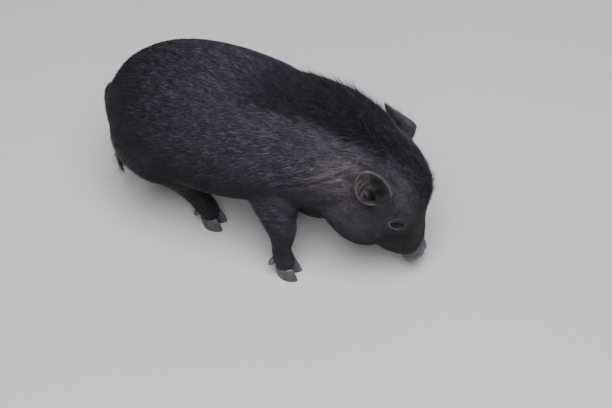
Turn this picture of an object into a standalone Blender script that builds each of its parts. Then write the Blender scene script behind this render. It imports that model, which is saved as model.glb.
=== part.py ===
"""A miniature pig: a black piglet standing on four legs with its nose lowered to the ground.

Metres, +X towards the head, +Y to the animal's left, +Z up, the floor at z = 0.
The flesh is modelled whole from lofted pieces, fused and smoothed, then parted with thin cuts.
"""

import math
import random
from collections import namedtuple

import bmesh
import bpy
from mathutils import Matrix, Vector
from mathutils.bvhtree import BVHTree

# Gap between neighbouring nodes
GAP = 0.0003
SIDES = {"right": -1, "left": 1}

# Trunk
TRUNK_LENGTH = 0.2205
TRUNK_DEPTH = 0.145
TRUNK_WIDTH = 0.134
RUMP_X = -0.1905
RUMP_AXIS_Z = 0.140
CHEST_AXIS_Z = 0.134

# Head, measured from the middle between the ear roots
HEAD_AT = Vector((0.073, 0.0, 0.124))
HEAD_PITCH = math.radians(63)
HEAD_LENGTH = 0.110
HEAD_DEPTH = 0.094
HEAD_WIDTH = 0.096
SNOUT_WIDTH = 0.030
SNOUT_HEIGHT = 0.025
SNOUT_THICK = 0.0060
SNOUT_TILT = math.radians(8)
SNOUT_RIM = ((GAP, 0.90), (0.0012, 0.99), (0.0036, 1.0), (0.0052, 0.93), (SNOUT_THICK, 0.74))
NOSTRIL = (0.0048, 0.0023, 0.0032)
NOSTRIL_AT = (0.0062, 0.0005)
NOSTRIL_SLANT = 0.5

# Ears
EAR_LENGTH = 0.037
EAR_WIDTH = 0.032
EAR_THICK = 0.0022
EAR_FOLD = math.radians(118)
EAR_TIP_FOLD = math.radians(34)
EAR_PASSAGE_AT = (0.006, 0, 0.0085)
EAR_PASSAGE = (0.0115, 0.0085, 0.0065)

# Eyes, in the head's frame
EYE_RADIUS = 0.0080
EYE_AT = (0.0405, 0.0273, 0.0110)
EYE_FACING = (0.30, 0.88, 0.36)
LID_THICK = 0.0010
SOCKET_FLATS = 0.94
EYE_LENGTH = 0.0128
EYE_HEIGHT = 0.0100

# Legs and hooves
CANNON_RADIUS = 0.0093
FETLOCK_Z = 0.026
CORONET_Z = 0.0128
CORONET_SLOPE = 0.16
CLAW_LENGTH = 0.0205
CLAW_WIDTH = 0.0098
CLAW_SPLAY = math.radians(6)
CLEFT = 0.0014
DEWCLAW = (0.0030, 0.0034, 0.0055)
DEWCLAW_AT = (-0.0135, 0.0066, 0.0205)
DEWCLAW_LEAN = math.radians(28)
DEWCLAW_SPREAD = 0.25

# How high up a claw each of its outlines lies, its size there and its place along the foot
CLAW_LEVELS = ((0.0, 0.94, 0.002), (0.10, 1.0, 0.002), (0.5, 0.97, 0.0002), (1.0, 0.88, -0.0022))

# Middle and half sizes of the long egg that parts a leg from the trunk
LEG_EGGS = {
    "fore": ((-0.008, 0.006, 0.042), (0.037, 0.033, 0.080)),
    "hind": ((0.012, 0.014, 0.042), (0.052, 0.037, 0.088)),
}

# Planes that part the neck from the trunk and the face from the neck
NECK_CUT_AT = (0.026, 0, 0.110)
NECK_CUT_RUN = (0.974, 0, 0.225)
FACE_CUT_AT = (-0.034, 0, 0.040)
FACE_CUT_LEAN = math.radians(-22)

# Tail
TAIL_ROOT = (0.012, 0, 0.150)
TAIL_ROOT_RADIUS = 0.0050
TAIL_TIP_RADIUS = 0.0020
TAIL_RUN = (
    (0.0, 0.0, 0.0),
    (-0.0100, 0.0, -0.004),
    (-0.0150, -0.001, -0.015),
    (-0.0150, -0.002, -0.032),
    (-0.0125, -0.003, -0.059),
    (-0.0098, -0.005, -0.087),
    (-0.0080, -0.006, -0.110),
)

# Mouth: its height under the head's axis, how far round the muzzle it runs and how its corners rise
MOUTH_AT = (0.072, 0, -0.0247)
MOUTH_REACH = math.radians(104)
MOUTH_CURL = 0.0045
LIP_RADIUS = 0.0019
LIP_SINK = 0.0007
MOUTH_STEPS = 9

# Bristles of the crest and the tail's tuft
CREST_STATIONS = 17
CREST_LOCK = (0.0250, 0.0112, 0.0028)
CREST_REACH = 0.052
WITHERS_KNOTS = ((-0.050, 0, 0.136), (0.018, 0, 0.158))
FOREHEAD_KNOTS = ((-0.050, 0, -0.006), (0.058, 0, -0.012))
TUFT_LOCKS = 8
TUFT_LOCK = (0.020, 0.0042, 0.0018)

# Where a lock's sections lie along it, from the sunk root to the tip, and their width
LOCK_SHAPE = ((-0.34, 0.70), (0.20, 1.0), (0.62, 0.72), (1.0, 0.10))

# Fineness of the fused flesh
VOXEL = 0.0021
SMOOTH_ROUNDS = 40
FLESH_TRIANGLES = 5400

Row = namedtuple("Row", "along above below half_width")
Ear = namedtuple("Ear", "root run opening")
Joint = namedtuple("Joint", "at half_length half_width")
Leg = namedtuple("Leg", "name side kind foot spread")

# Middle and half sizes of the swellings of the face, in the head's frame, and of the breast
FACE_LUMPS = {
    "chin": ((0.078, 0, -0.028), (0.022, 0.0130, 0.010)),
    "jaw": ((0.056, 0, -0.034), (0.030, 0.0250, 0.019)),
    "cheek": ((0.020, 0.0175, -0.026), (0.054, 0.0325, 0.034)),
    "brow": ((0.034, 0.0230, 0.0200), (0.016, 0.011, 0.009)),
    "ear_root": ((-0.004, 0.029, 0.013), (0.018, 0.012, 0.016)),
}
BREAST = ((0.021, 0, 0.088), (0.037, 0.036, 0.037))

# Ears: the place of each root, the way to its tip and the way its cup faces, in the head's frame
EARS = {
    "right": Ear((-0.0050, -0.0350, 0.0195), (-0.93, -0.36, 0.06), (0.25, -0.92, 0.20)),
    "left": Ear((-0.0030, 0.0350, 0.0115), (-0.93, 0.12, 0.12), (0.20, 0.85, 0.70)),
}

# Feet: the place of each foot along the body and away from its middle
LEGS = (
    Leg("foreleg_right", -1, "fore", 0.004, 0.050),
    Leg("foreleg_left", 1, "fore", -0.012, 0.038),
    Leg("hind_leg_right", -1, "hind", -0.087, 0.015),
    Leg("hind_leg_left", 1, "hind", -0.140, 0.030),
)

# Shares of the trunk's length, depth and width, from the rump to the chest
TRUNK_ROWS = (
    Row(0.00, 0.01, -0.18, 0.20),
    Row(0.04, 0.19, -0.30, 0.48),
    Row(0.12, 0.335, -0.39, 0.72),
    Row(0.25, 0.457, -0.46, 0.90),
    Row(0.40, 0.51, -0.52, 0.99),
    Row(0.55, 0.515, -0.535, 1.00),
    Row(0.70, 0.49, -0.50, 0.96),
    Row(0.84, 0.45, -0.44, 0.86),
    Row(0.95, 0.37, -0.34, 0.70),
    Row(1.00, 0.25, -0.22, 0.44),
)

# Shares of the head's length, depth and width, from the nape to the muzzle's end
HEAD_ROWS = (
    Row(-0.30, 0.26, -0.40, 0.68),
    Row(-0.14, 0.40, -0.52, 0.82),
    Row(0.06, 0.47, -0.58, 0.86),
    Row(0.25, 0.46, -0.56, 0.84),
    Row(0.42, 0.38, -0.54, 0.78),
    Row(0.57, 0.26, -0.51, 0.70),
    Row(0.72, 0.15, -0.46, 0.55),
    Row(0.86, 0.08, -0.38, 0.44),
    Row(1.03, 0.06, -0.26, 0.355),
)

# How far along the neck, and half its depth and width there
NECK_ROWS = ((0.0, 0.064, 0.060), (0.35, 0.063, 0.059), (0.7, 0.055, 0.052), (1.0, 0.044, 0.044))


def clear_scene():
    for old in list(bpy.data.objects):
        bpy.data.objects.remove(old, do_unlink=True)


def material(name, colour, roughness):
    made = bpy.data.materials.new(name)
    made.use_nodes = True
    shader = made.node_tree.nodes["Principled BSDF"]
    shader.inputs["Base Color"].default_value = (*colour, 1.0)
    shader.inputs["Roughness"].default_value = roughness
    shader.inputs["Metallic"].default_value = 0.0
    return made


def link(name, mesh):
    obj = bpy.data.objects.new(name, mesh)
    bpy.context.scene.collection.objects.link(obj)
    return obj


def link_bmesh(name, bm):
    mesh = bpy.data.meshes.new(name)
    bmesh.ops.recalc_face_normals(bm, faces=bm.faces)
    bm.to_mesh(mesh)
    bm.free()
    return link(name, mesh)


def applied(obj):
    """Replaces the object's mesh by its evaluated one, in place."""
    bpy.context.view_layer.update()
    graph = bpy.context.evaluated_depsgraph_get()
    mesh = bpy.data.meshes.new_from_object(obj.evaluated_get(graph))
    obj.modifiers.clear()
    obj.data = mesh
    return obj


def largest_body(obj):
    """Keeps only the largest closed surface of the object's mesh."""
    bm = bmesh.new()
    bm.from_mesh(obj.data)
    unseen, islands = set(bm.verts), []
    while unseen:
        stack, island = [unseen.pop()], []
        while stack:
            vert = stack.pop()
            island.append(vert)
            for edge in vert.link_edges:
                other = edge.other_vert(vert)
                if other in unseen:
                    unseen.remove(other)
                    stack.append(other)
        islands.append(island)
    islands.sort(key=len)
    for island in islands[:-1]:
        bmesh.ops.delete(bm, geom=island, context="VERTS")
    bm.to_mesh(obj.data)
    bm.free()
    return obj


def boolean(obj, others, operation, solver="EXACT"):
    """Applies one Boolean of a collection of closed meshes, then removes them."""
    group = bpy.data.collections.new(operation)
    for other in others:
        group.objects.link(other)
    cut = obj.modifiers.new(operation, "BOOLEAN")
    cut.operation = operation
    cut.solver = solver
    cut.operand_type = "COLLECTION"
    cut.collection = group
    applied(obj)
    for other in others:
        bpy.data.objects.remove(other, do_unlink=True)
    bpy.data.collections.remove(group)
    return largest_body(obj)


def duplicate(obj, name, swell=0.0):
    """A copy of the object's mesh, grown along its normals by swell."""
    copy = link(name, obj.data.copy())
    if swell:
        grow = copy.modifiers.new("Grow", "DISPLACE")
        grow.direction = "NORMAL"
        grow.mid_level = 0.0
        grow.strength = swell
        applied(copy)
    return copy


def part_off(body, name, cutter, grown):
    """Parts a named node from the body along a cutter, with a thin gap left between them."""
    node = duplicate(body, name)
    boolean(node, [cutter], "INTERSECT")
    boolean(body, [grown], "DIFFERENCE")
    return node


def ring(bm, frame, row, sides=16, power=2.0):
    """One closed section in the frame's YZ plane, with its edges."""
    verts = []
    for side in range(sides):
        turn = math.tau * (side + 0.5) / sides
        across, height = math.cos(turn), math.sin(turn)
        y = math.copysign(abs(across) ** (2 / power), across) * row.half_width
        reach = row.above if height > 0 else -row.below
        z = math.copysign(abs(height) ** (2 / power), height) * reach
        verts.append(bm.verts.new(frame @ Vector((row.along, y, z))))
    return [bm.edges.new((verts[i - 1], verts[i])) for i in range(sides)]


def loft(name, sections, levels=2, sides=16, power=2.0):
    """A closed, subdivided skin over sections, each a frame and a Row."""
    bm = bmesh.new()
    rings = [ring(bm, frame, row, sides, power) for frame, row in sections]
    for first, second in zip(rings, rings[1:]):
        bmesh.ops.bridge_loops(bm, edges=first + second)
    for end in (rings[0], rings[-1]):
        bmesh.ops.contextual_create(bm, geom=end)
    obj = link_bmesh(name, bm)
    if levels:
        smooth = obj.modifiers.new("Round", "SUBSURF")
        smooth.levels = smooth.render_levels = levels
        applied(obj)
    return obj


def ellipsoid(name, frame, centre, radii, detail=3):
    bm = bmesh.new()
    bmesh.ops.create_icosphere(bm, subdivisions=detail, radius=1.0)
    place = frame @ Matrix.Translation(centre) @ Matrix.Diagonal((*radii, 1.0))
    bmesh.ops.transform(bm, matrix=place, verts=bm.verts)
    return link_bmesh(name, bm)


def frame_along(at, forward, up=Vector((0, 0, 1))):
    """A frame at a point whose X axis runs forward and whose Z axis leans to up."""
    x = Vector(forward).normalized()
    y = Vector(up).cross(x).normalized()
    z = x.cross(y)
    return Matrix.Translation(at) @ Matrix((x, y, z)).transposed().to_4x4()


def half_space(name, frame, size=0.6):
    """A large box whose near face lies in the frame's YZ plane and that reaches along its X axis."""
    bm = bmesh.new()
    bmesh.ops.create_cube(bm, size=size)
    place = frame @ Matrix.Translation((size / 2, 0, 0))
    bmesh.ops.transform(bm, matrix=place, verts=bm.verts)
    return link_bmesh(name, bm)


def limb(name, joints, sides=12, levels=2):
    """A tapered limb through joints, whose sections lie across its run."""
    points = [Vector(joint.at) for joint in joints]
    sections = []
    for i, joint in enumerate(joints):
        run = points[min(i + 1, len(points) - 1)] - points[max(i - 1, 0)]
        frame = frame_along(points[i], run, up=Vector((1, 0, 0.001)))
        row = Row(0.0, joint.half_length, -joint.half_length, joint.half_width)
        sections.append((frame, row))
    return loft(name, sections, sides=sides, levels=levels)


def tube(name, points, radii, sides=6):
    """A plain tube through points, with a radius at each."""
    sections = []
    for i, (point, radius) in enumerate(zip(points, radii)):
        run = points[min(i + 1, len(points) - 1)] - points[max(i - 1, 0)]
        sections.append((frame_along(point, run), Row(0.0, radius, -radius, radius)))
    return loft(name, sections, levels=0, sides=sides)


HEAD = Matrix.Translation(HEAD_AT) @ Matrix.Rotation(HEAD_PITCH, 4, "Y")
MUZZLE_END = HEAD @ Matrix.Translation((HEAD_LENGTH * 0.95, 0, -0.008))
SNOUT = MUZZLE_END @ Matrix.Rotation(SNOUT_TILT, 4, "Y")


def trunk():
    sections = []
    for row in TRUNK_ROWS:
        axis_z = RUMP_AXIS_Z + (CHEST_AXIS_Z - RUMP_AXIS_Z) * row.along
        frame = Matrix.Translation((RUMP_X + TRUNK_LENGTH * row.along, 0, axis_z))
        half = row.half_width * TRUNK_WIDTH / 2
        size = Row(0.0, row.above * TRUNK_DEPTH, row.below * TRUNK_DEPTH, half)
        sections.append((frame, size))
    return loft("trunk", sections, power=2.1)


def neck_core():
    """Bends from inside the shoulders down to the back of the head."""
    root = Vector((-0.046, 0.0, CHEST_AXIS_Z + 0.005))
    nape = HEAD @ Vector((0.004, 0.0, -0.004))
    corner = Vector((nape.x - 0.014, 0.0, root.z + 0.008))
    sections = []
    for share, depth, width in NECK_ROWS:
        left = 1 - share
        at = root * left**2 + corner * 2 * left * share + nape * share**2
        run = (corner - root) * left + (nape - corner) * share
        sections.append((frame_along(at, run), Row(0.0, depth, -depth * 1.16, width)))
    return loft("neck_core", sections)


def head_core():
    sections = []
    for row in HEAD_ROWS:
        size = Row(
            row.along * HEAD_LENGTH,
            row.above * HEAD_DEPTH,
            row.below * HEAD_DEPTH,
            row.half_width * HEAD_WIDTH / 2,
        )
        sections.append((HEAD, size))
    return loft("head_core", sections, power=2.2)


def face_lumps():
    """The rounded swellings of both sides of the face, in the head's frame."""
    lumps = []
    for name, ((x, y, z), radii) in FACE_LUMPS.items():
        for side in SIDES.values() if y else (1,):
            lumps.append(ellipsoid(name, HEAD, (x, side * y, z), radii))
    return lumps


def fore_limb(leg):
    """Shoulder, upper arm and foreleg down to the coronet."""
    x, y = leg.foot, leg.side * leg.spread
    shoulder = (-0.018, leg.side * 0.034, 0.132)
    return [
        ellipsoid("shoulder", Matrix.Identity(4), shoulder, (0.036, 0.026, 0.046)),
        limb(
            "foreleg",
            (
                Joint((-0.012, leg.side * 0.037, 0.126), 0.031, 0.017),
                Joint((-0.012, y * 0.90, 0.096), 0.026, 0.0165),
                Joint((x * 0.4 - 0.004, y * 0.97, 0.071), 0.0175, 0.0138),
                Joint((x * 0.8 - 0.004, y, 0.052), 0.0132, 0.0122),
                Joint((x - 0.006, y, 0.038), CANNON_RADIUS, CANNON_RADIUS),
                Joint((x - 0.007, y, FETLOCK_Z), 0.0112, 0.0117),
                Joint((x - 0.001, y, 0.016), 0.0108, 0.0122),
                Joint((x + 0.003, y, 0.006), 0.0108, 0.0122),
            ),
        ),
    ]


def hind_limb(leg):
    """Ham, thigh and hind leg down to the coronet."""
    x, y = leg.foot, leg.side * leg.spread
    hip = RUMP_X + 0.048
    hock = min(x - 0.027, hip + 0.027)
    ham = (hip + 0.012, leg.side * 0.029, 0.119)
    knee = ((hip + hock) / 2 + 0.006, leg.side * (0.036 + leg.spread) / 2, 0.076)
    return [
        ellipsoid("ham", Matrix.Identity(4), ham, (0.048, 0.0305, 0.052)),
        limb(
            "hind_leg",
            (
                Joint((hip + 0.008, leg.side * 0.034, 0.130), 0.036, 0.024),
                Joint((hip + 0.018, leg.side * 0.036, 0.100), 0.029, 0.021),
                Joint(knee, 0.024, 0.0165),
                Joint((hock, y * 1.05, 0.053), 0.0160, 0.0125),
                Joint((hock * 0.55 + x * 0.45, y, 0.038), 0.0122, 0.0112),
                Joint((x - 0.007, y, FETLOCK_Z), 0.0116, 0.0120),
                Joint((x - 0.001, y, 0.016), 0.0108, 0.0122),
                Joint((x + 0.003, y, 0.006), 0.0108, 0.0122),
            ),
        ),
    ]


def fuse(pieces, name):
    """One smooth closed skin over overlapping closed pieces."""
    bm = bmesh.new()
    for piece in pieces:
        bm.from_mesh(piece.data)
        bpy.data.objects.remove(piece, do_unlink=True)
    obj = link_bmesh(name, bm)
    weld = obj.modifiers.new("Fuse", "REMESH")
    weld.mode = "VOXEL"
    weld.voxel_size = VOXEL
    blend = obj.modifiers.new("Blend", "SMOOTH")
    blend.factor = 0.5
    blend.iterations = SMOOTH_ROUNDS
    applied(obj)
    largest_body(obj)
    thin = obj.modifiers.new("Thin", "DECIMATE")
    thin.ratio = FLESH_TRIANGLES / (2 * len(obj.data.polygons))
    thin.use_collapse_triangulate = True
    return applied(obj)


def flesh():
    pieces = [trunk(), ellipsoid("breast", Matrix.Identity(4), *BREAST)]
    pieces += [neck_core(), head_core(), *face_lumps()]
    for leg in LEGS:
        pieces += fore_limb(leg) if leg.kind == "fore" else hind_limb(leg)
    return fuse(pieces, "torso")


def skin_tree(body):
    bpy.context.view_layer.update()
    return BVHTree.FromObject(body, bpy.context.evaluated_depsgraph_get())


def surface_point(tree, inside, outward):
    """Where a ray from far outside meets the skin, on its way to a point inside, and the skin's normal."""
    outward = outward.normalized()
    at, normal, _, _ = tree.ray_cast(inside + outward * 0.3, -outward)
    return at, normal


def spine(share):
    """A point on the line under the crest and the run of that line, from the withers to the forehead."""
    knots = [Vector(knot) for knot in WITHERS_KNOTS] + [HEAD @ Vector(knot) for knot in FOREHEAD_KNOTS]
    left = 1 - share
    weights = (left**3, 3 * left**2 * share, 3 * left * share**2, share**3)
    slopes = (
        -3 * left**2,
        3 * left**2 - 6 * left * share,
        6 * left * share - 3 * share**2,
        3 * share**2,
    )
    at = sum((knot * weight for knot, weight in zip(knots, weights)), Vector())
    run = sum((knot * slope for knot, slope in zip(knots, slopes)), Vector())
    return at, run.normalized()


def lock(at, normal, lie, size, rise):
    """A flat tapered lock with a low keel, that grows out of the skin and bends over along its lie."""
    length, width, thick = size
    bm = bmesh.new()
    rings, points = [], []
    for share, _ in LOCK_SHAPE:
        bent = max(share, 0) ** 2
        climb = rise * (share - 0.44 * bent)
        reach = 0.70 * share + 0.20 * bent
        points.append(at + (normal * climb + lie * reach) * length)
    for i, (share, wide) in enumerate(LOCK_SHAPE):
        run = points[min(i + 1, len(points) - 1)] - points[max(i - 1, 0)]
        frame = frame_along(points[i], run, up=normal - lie)
        half, deep = width / 2 * wide, thick / 2 * math.sqrt(wide)
        corners = ((half, -deep), (0, deep), (-half, -deep))
        verts = [bm.verts.new(frame @ Vector((0, y, z))) for y, z in corners]
        rings.append([bm.edges.new((verts[j - 1], verts[j])) for j in range(3)])
    for first, second in zip(rings, rings[1:]):
        bmesh.ops.bridge_loops(bm, edges=first + second)
    for end in (rings[0], rings[-1]):
        bmesh.ops.contextual_create(bm, geom=end)
    return link_bmesh("lock", bm)


def skyward(run):
    """The way out of the body, square to a run in its middle plane."""
    return Vector((0, -1, 0)).cross(run)


def even_stations(tree, count):
    """Shares of the spine whose points on the skin are evenly spaced."""
    fine = [i / 80 for i in range(81)]
    points = []
    for share in fine:
        inside, run = spine(share)
        points.append(surface_point(tree, inside, skyward(run))[0])
    lengths = [0.0]
    for first, second in zip(points, points[1:]):
        lengths.append(lengths[-1] + (second - first).length)
    wanted = [lengths[-1] * i / (count - 1) for i in range(count)]
    return [fine[min(range(81), key=lambda i: abs(lengths[i] - want))] for want in wanted]


def crest(body):
    """Joins the standing bristles along the withers, nape and forehead to the flesh."""
    draw = random.Random(11)
    tree = skin_tree(body)
    length, width, thick = CREST_LOCK
    locks = []
    for station, middle in enumerate(even_stations(tree, CREST_STATIONS)):
        share = station / (CREST_STATIONS - 1)
        columns = 5 + station % 2
        narrow = 0.72 + 0.28 * math.sin(math.pi * share)
        for column in range(columns):
            across = (column - (columns - 1) / 2) * width * 0.78 * narrow
            across *= draw.uniform(0.9, 1.1)
            inside, run = spine(min(max(middle + draw.uniform(-0.016, 0.016), 0), 1))
            outward = Matrix.Rotation(across / CREST_REACH, 3, run) @ skyward(run)
            at, normal = surface_point(tree, inside, outward)
            lie = (-run + Vector((0, across * 12 + draw.uniform(-0.15, 0.15), 0))).normalized()
            lie = (lie - normal * lie.dot(normal)).normalized()
            grow = (0.60 + 0.40 * math.sin(math.pi * share) ** 0.5) * draw.uniform(0.86, 1.14)
            size = (length * grow, width * draw.uniform(0.85, 1.1), thick)
            locks.append(lock(at, normal, lie, size, rise=draw.uniform(0.40, 0.62)))
    return boolean(body, locks, "UNION")


def eye_frame(side):
    x, y, z = EYE_AT
    facing = Vector((EYE_FACING[0], side * EYE_FACING[1], EYE_FACING[2]))
    along = Vector((1.0, 0.0, -0.35))
    return HEAD @ frame_along((x, side * y, z), facing, up=along.cross(facing) * side)


def lids(body):
    """Swells the lids over each eye, hollows the socket and opens the almond of the eye."""
    bulges, hollows = [], []
    for side in SIDES.values():
        frame = eye_frame(side)
        lid = EYE_RADIUS + GAP + LID_THICK
        socket = EYE_RADIUS + GAP / SOCKET_FLATS
        bulges.append(ellipsoid("lid", frame, (0, 0, 0), (lid, lid, lid), detail=2))
        hollows.append(ellipsoid("socket", frame, (0, 0, 0), (socket, socket, socket), detail=2))
        half = Row(0.0, EYE_HEIGHT / 2, -EYE_HEIGHT / 2, EYE_LENGTH / 2)
        opening = [(frame @ Matrix.Translation((x, 0, 0)), half) for x in (0.003, 0.016)]
        hollows.append(loft("opening", opening, levels=0, sides=14, power=1.8))
    boolean(body, bulges, "UNION")
    return boolean(body, hollows, "DIFFERENCE")


def mouth_line(tree, lift, sink):
    """Points on the skin round the muzzle, from one corner of the mouth to the other."""
    points = []
    for step in range(MOUTH_STEPS + 1):
        turn = MOUTH_REACH * (2 * step / MOUTH_STEPS - 1)
        curl = MOUTH_CURL * abs(turn / MOUTH_REACH) ** 3
        inside = HEAD @ (Vector(MOUTH_AT) + Vector((0, 0, curl + lift)))
        outward = HEAD.to_3x3() @ Vector((math.cos(turn), math.sin(turn), 0))
        at, normal = surface_point(tree, inside, outward)
        points.append(at - normal * sink)
    return points


def mouth(body):
    """Raises both lips and cuts the line of the mouth between them."""
    tree = skin_tree(body)
    shares = [step / MOUTH_STEPS for step in range(MOUTH_STEPS + 1)]
    taper = [0.35 + 0.65 * math.sin(math.pi * share) ** 0.5 for share in shares]
    lips = [LIP_RADIUS * narrow for narrow in taper]
    upper = tube("upper_lip", mouth_line(tree, LIP_RADIUS, LIP_SINK), lips)
    lower = tube("lower_lip", mouth_line(tree, -LIP_RADIUS, LIP_SINK), lips)
    line = tube("line", mouth_line(tree, 0.0, 0.0), [radius / 2 for radius in lips], sides=4)
    boolean(body, [upper, lower], "UNION", solver="MANIFOLD")
    return boolean(body, [line], "DIFFERENCE", solver="MANIFOLD")


def snout_disc():
    """The flat disc of the snout with its two nostrils, a hair's breadth in front of the muzzle."""
    half_w, half_h = SNOUT_WIDTH / 2, SNOUT_HEIGHT / 2
    sections = []
    for along, scale in SNOUT_RIM:
        sections.append((SNOUT, Row(along, half_h * scale, -half_h * scale, half_w * scale)))
    disc = loft("snout", sections, levels=0, sides=22, power=2.2)
    holes = []
    for side in SIDES.values():
        place = SNOUT @ Matrix.Translation((SNOUT_THICK, side * NOSTRIL_AT[0], NOSTRIL_AT[1]))
        place = place @ Matrix.Rotation(side * NOSTRIL_SLANT, 4, "X")
        holes.append(ellipsoid("nostril", place, (0, 0, 0), NOSTRIL, detail=2))
    return boolean(disc, holes, "DIFFERENCE")


def ear_frame(side):
    """The ear's root, with X along its length and Z out of its opening."""
    placed = EARS[side]
    return HEAD @ frame_along(placed.root, placed.run, up=placed.opening)


def ear_hollow(side):
    """The passage at the bottom of the ear's cup."""
    return ellipsoid("hollow", ear_frame(side), EAR_PASSAGE_AT, EAR_PASSAGE, detail=2)


def ear_point(along, across):
    """A point of the ear's sheet: along runs from root to tip, across from -1 to 1."""
    outline = math.sin(math.pi * (0.22 + 0.73 * along)) ** 0.62
    curl = EAR_FOLD * (1 - along) ** 0.8 + EAR_TIP_FOLD
    half = EAR_WIDTH / 2 * outline
    turn = curl * across
    reach = half * math.sin(turn) / max(math.sin(min(curl, math.pi / 2)), 0.3)
    depth = half * 0.62 * (1 - math.cos(turn))
    return Vector((EAR_LENGTH * along, reach, depth))


def ear(side, head_grown):
    """One cupped ear: a thin shell that stands off the head and points back."""
    frame = ear_frame(side)
    bm = bmesh.new()
    rows, columns = 8, 10
    bmesh.ops.create_grid(bm, x_segments=rows, y_segments=columns, size=1.0)
    for vert in bm.verts:
        along = (vert.co.x + 1) / 2
        vert.co = frame @ ear_point(along, vert.co.y)
    obj = link_bmesh(f"ear_{side}", bm)
    shell = obj.modifiers.new("Thickness", "SOLIDIFY")
    shell.thickness = EAR_THICK
    shell.offset = 0.0
    shell.use_even_offset = False
    applied(obj)
    return boolean(obj, [head_grown], "DIFFERENCE")


def eye(side):
    name = "eye_left" if side > 0 else "eye_right"
    return ellipsoid(name, eye_frame(side), (0, 0, 0), (EYE_RADIUS,) * 3, detail=2)


def coronet_frame(leg, lift):
    """The sloping plane where the leg meets its claws, facing down."""
    at = Vector((leg.foot, leg.side * leg.spread, CORONET_Z + lift))
    return frame_along(at, Vector((CORONET_SLOPE, 0, -1)), up=Vector((1, 0, 0)))


def claw(leg, toe):
    """One main claw: a flat sole, a sloping front wall and a top that follows the coronet."""
    name = f"hoof_{leg.name}_{'inner' if toe * leg.side < 0 else 'outer'}"
    base = Matrix.Translation((leg.foot, leg.side * leg.spread + toe * (CLEFT + CLAW_WIDTH) / 2, 0))
    frame = base @ Matrix.Rotation(toe * CLAW_SPLAY, 4, "Z")
    bm = bmesh.new()
    rings = []
    sides = 16
    for height, scale, shift in CLAW_LEVELS:
        verts = []
        for step in range(sides):
            turn = math.tau * step / sides
            toe_in = 1 - 0.38 * max(math.cos(turn), 0) ** 2
            x = CLAW_LENGTH / 2 * scale * math.cos(turn) + shift
            y = CLAW_WIDTH / 2 * scale * math.sin(turn) * toe_in
            top = CORONET_Z + CORONET_SLOPE * x - GAP
            verts.append(bm.verts.new(frame @ Vector((x, y, top * height))))
        rings.append([bm.edges.new((verts[i - 1], verts[i])) for i in range(sides)])
    for first, second in zip(rings, rings[1:]):
        bmesh.ops.bridge_loops(bm, edges=first + second)
    for end in (rings[0], rings[-1]):
        bmesh.ops.contextual_create(bm, geom=end)
    return link_bmesh(name, bm)


def dewclaw(leg, toe, leg_grown):
    name = f"dewclaw_{leg.name}_{'inner' if toe * leg.side < 0 else 'outer'}"
    x, y, z = DEWCLAW_AT
    at = Matrix.Translation((leg.foot + x, leg.side * leg.spread + toe * y, z))
    turn = Matrix.Rotation(DEWCLAW_LEAN, 4, "Y") @ Matrix.Rotation(toe * DEWCLAW_SPREAD, 4, "X")
    return boolean(ellipsoid(name, at @ turn, (0, 0, 0), DEWCLAW, detail=1), [leg_grown], "DIFFERENCE")


def leg_cutter(leg, grow):
    """A long egg round a leg, whose top is the curved line where the leg meets the trunk."""
    (x, y, z), radii = LEG_EGGS[leg.kind]
    root = leg.foot / 2 if leg.kind == "fore" else (leg.foot + RUMP_X) / 2
    centre = (root + x, leg.side * (leg.spread + y), z)
    return ellipsoid("cutter", Matrix.Identity(4), centre, [radius + grow for radius in radii])


def part_legs(body):
    legs = []
    for leg in LEGS:
        node = part_off(body, leg.name, leg_cutter(leg, 0.0), leg_cutter(leg, GAP))
        boolean(node, [half_space("below", coronet_frame(leg, 0.0))], "DIFFERENCE")
        legs.append(node)
    return legs


def hooves(legs):
    made = []
    for leg, node in zip(LEGS, legs):
        for toe in (-1, 1):
            made.append(claw(leg, toe))
            made.append(dewclaw(leg, toe, duplicate(node, "grown", swell=GAP)))
    return made


def tail(body_grown):
    """Hangs straight down behind the rump and ends in a tuft."""
    root = Vector((RUMP_X, 0, 0)) + Vector(TAIL_ROOT)
    points = [root + Vector(step) for step in TAIL_RUN]
    joints = []
    for i, point in enumerate(points):
        radius = TAIL_ROOT_RADIUS + (TAIL_TIP_RADIUS - TAIL_ROOT_RADIUS) * i / (len(points) - 1)
        joints.append(Joint(point, radius, radius))
    obj = limb("tail", joints, sides=5, levels=1)
    boolean(obj, [body_grown], "DIFFERENCE")
    draw = random.Random(5)
    locks = []
    for i in range(TUFT_LOCKS):
        share = 0.30 + 0.62 * i / (TUFT_LOCKS - 1)
        at = points[3].lerp(points[-1], share)
        turn = i * 2.4
        normal = Vector((math.cos(turn), math.sin(turn), 0))
        locks.append(lock(at + normal * 0.0012, normal, Vector((0, 0, -1)), TUFT_LOCK, rise=0.26))
    return boolean(obj, locks, "UNION")


def neck_frame(lift):
    return Matrix.Translation((-lift, 0, 0)) @ frame_along(Vector(NECK_CUT_AT), NECK_CUT_RUN)


def face_frame(lift):
    turn = Matrix.Rotation(FACE_CUT_LEAN, 4, "Y")
    return HEAD @ Matrix.Translation(FACE_CUT_AT) @ turn @ Matrix.Translation((-lift, 0, 0))


def part_head(body):
    front = part_off(body, "neck", half_space("ahead", neck_frame(0)), half_space("ahead", neck_frame(GAP)))
    face = part_off(front, "head", half_space("ahead", face_frame(0)), half_space("ahead", face_frame(GAP)))
    return front, face


def centre_on_floor():
    """Moves everything so that the middle of the whole, seen from above, is over the origin."""
    objects = list(bpy.data.objects)
    points = [vert.co for obj in objects for vert in obj.data.vertices]
    middle = [(min(p[axis] for p in points) + max(p[axis] for p in points)) / 2 for axis in (0, 1)]
    for obj in objects:
        obj.data.transform(Matrix.Translation((-middle[0], -middle[1], 0)))


def finish(objects, finish_material):
    for obj in objects:
        obj.data.materials.clear()
        obj.data.materials.append(finish_material)
        obj.data.shade_smooth()


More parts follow.
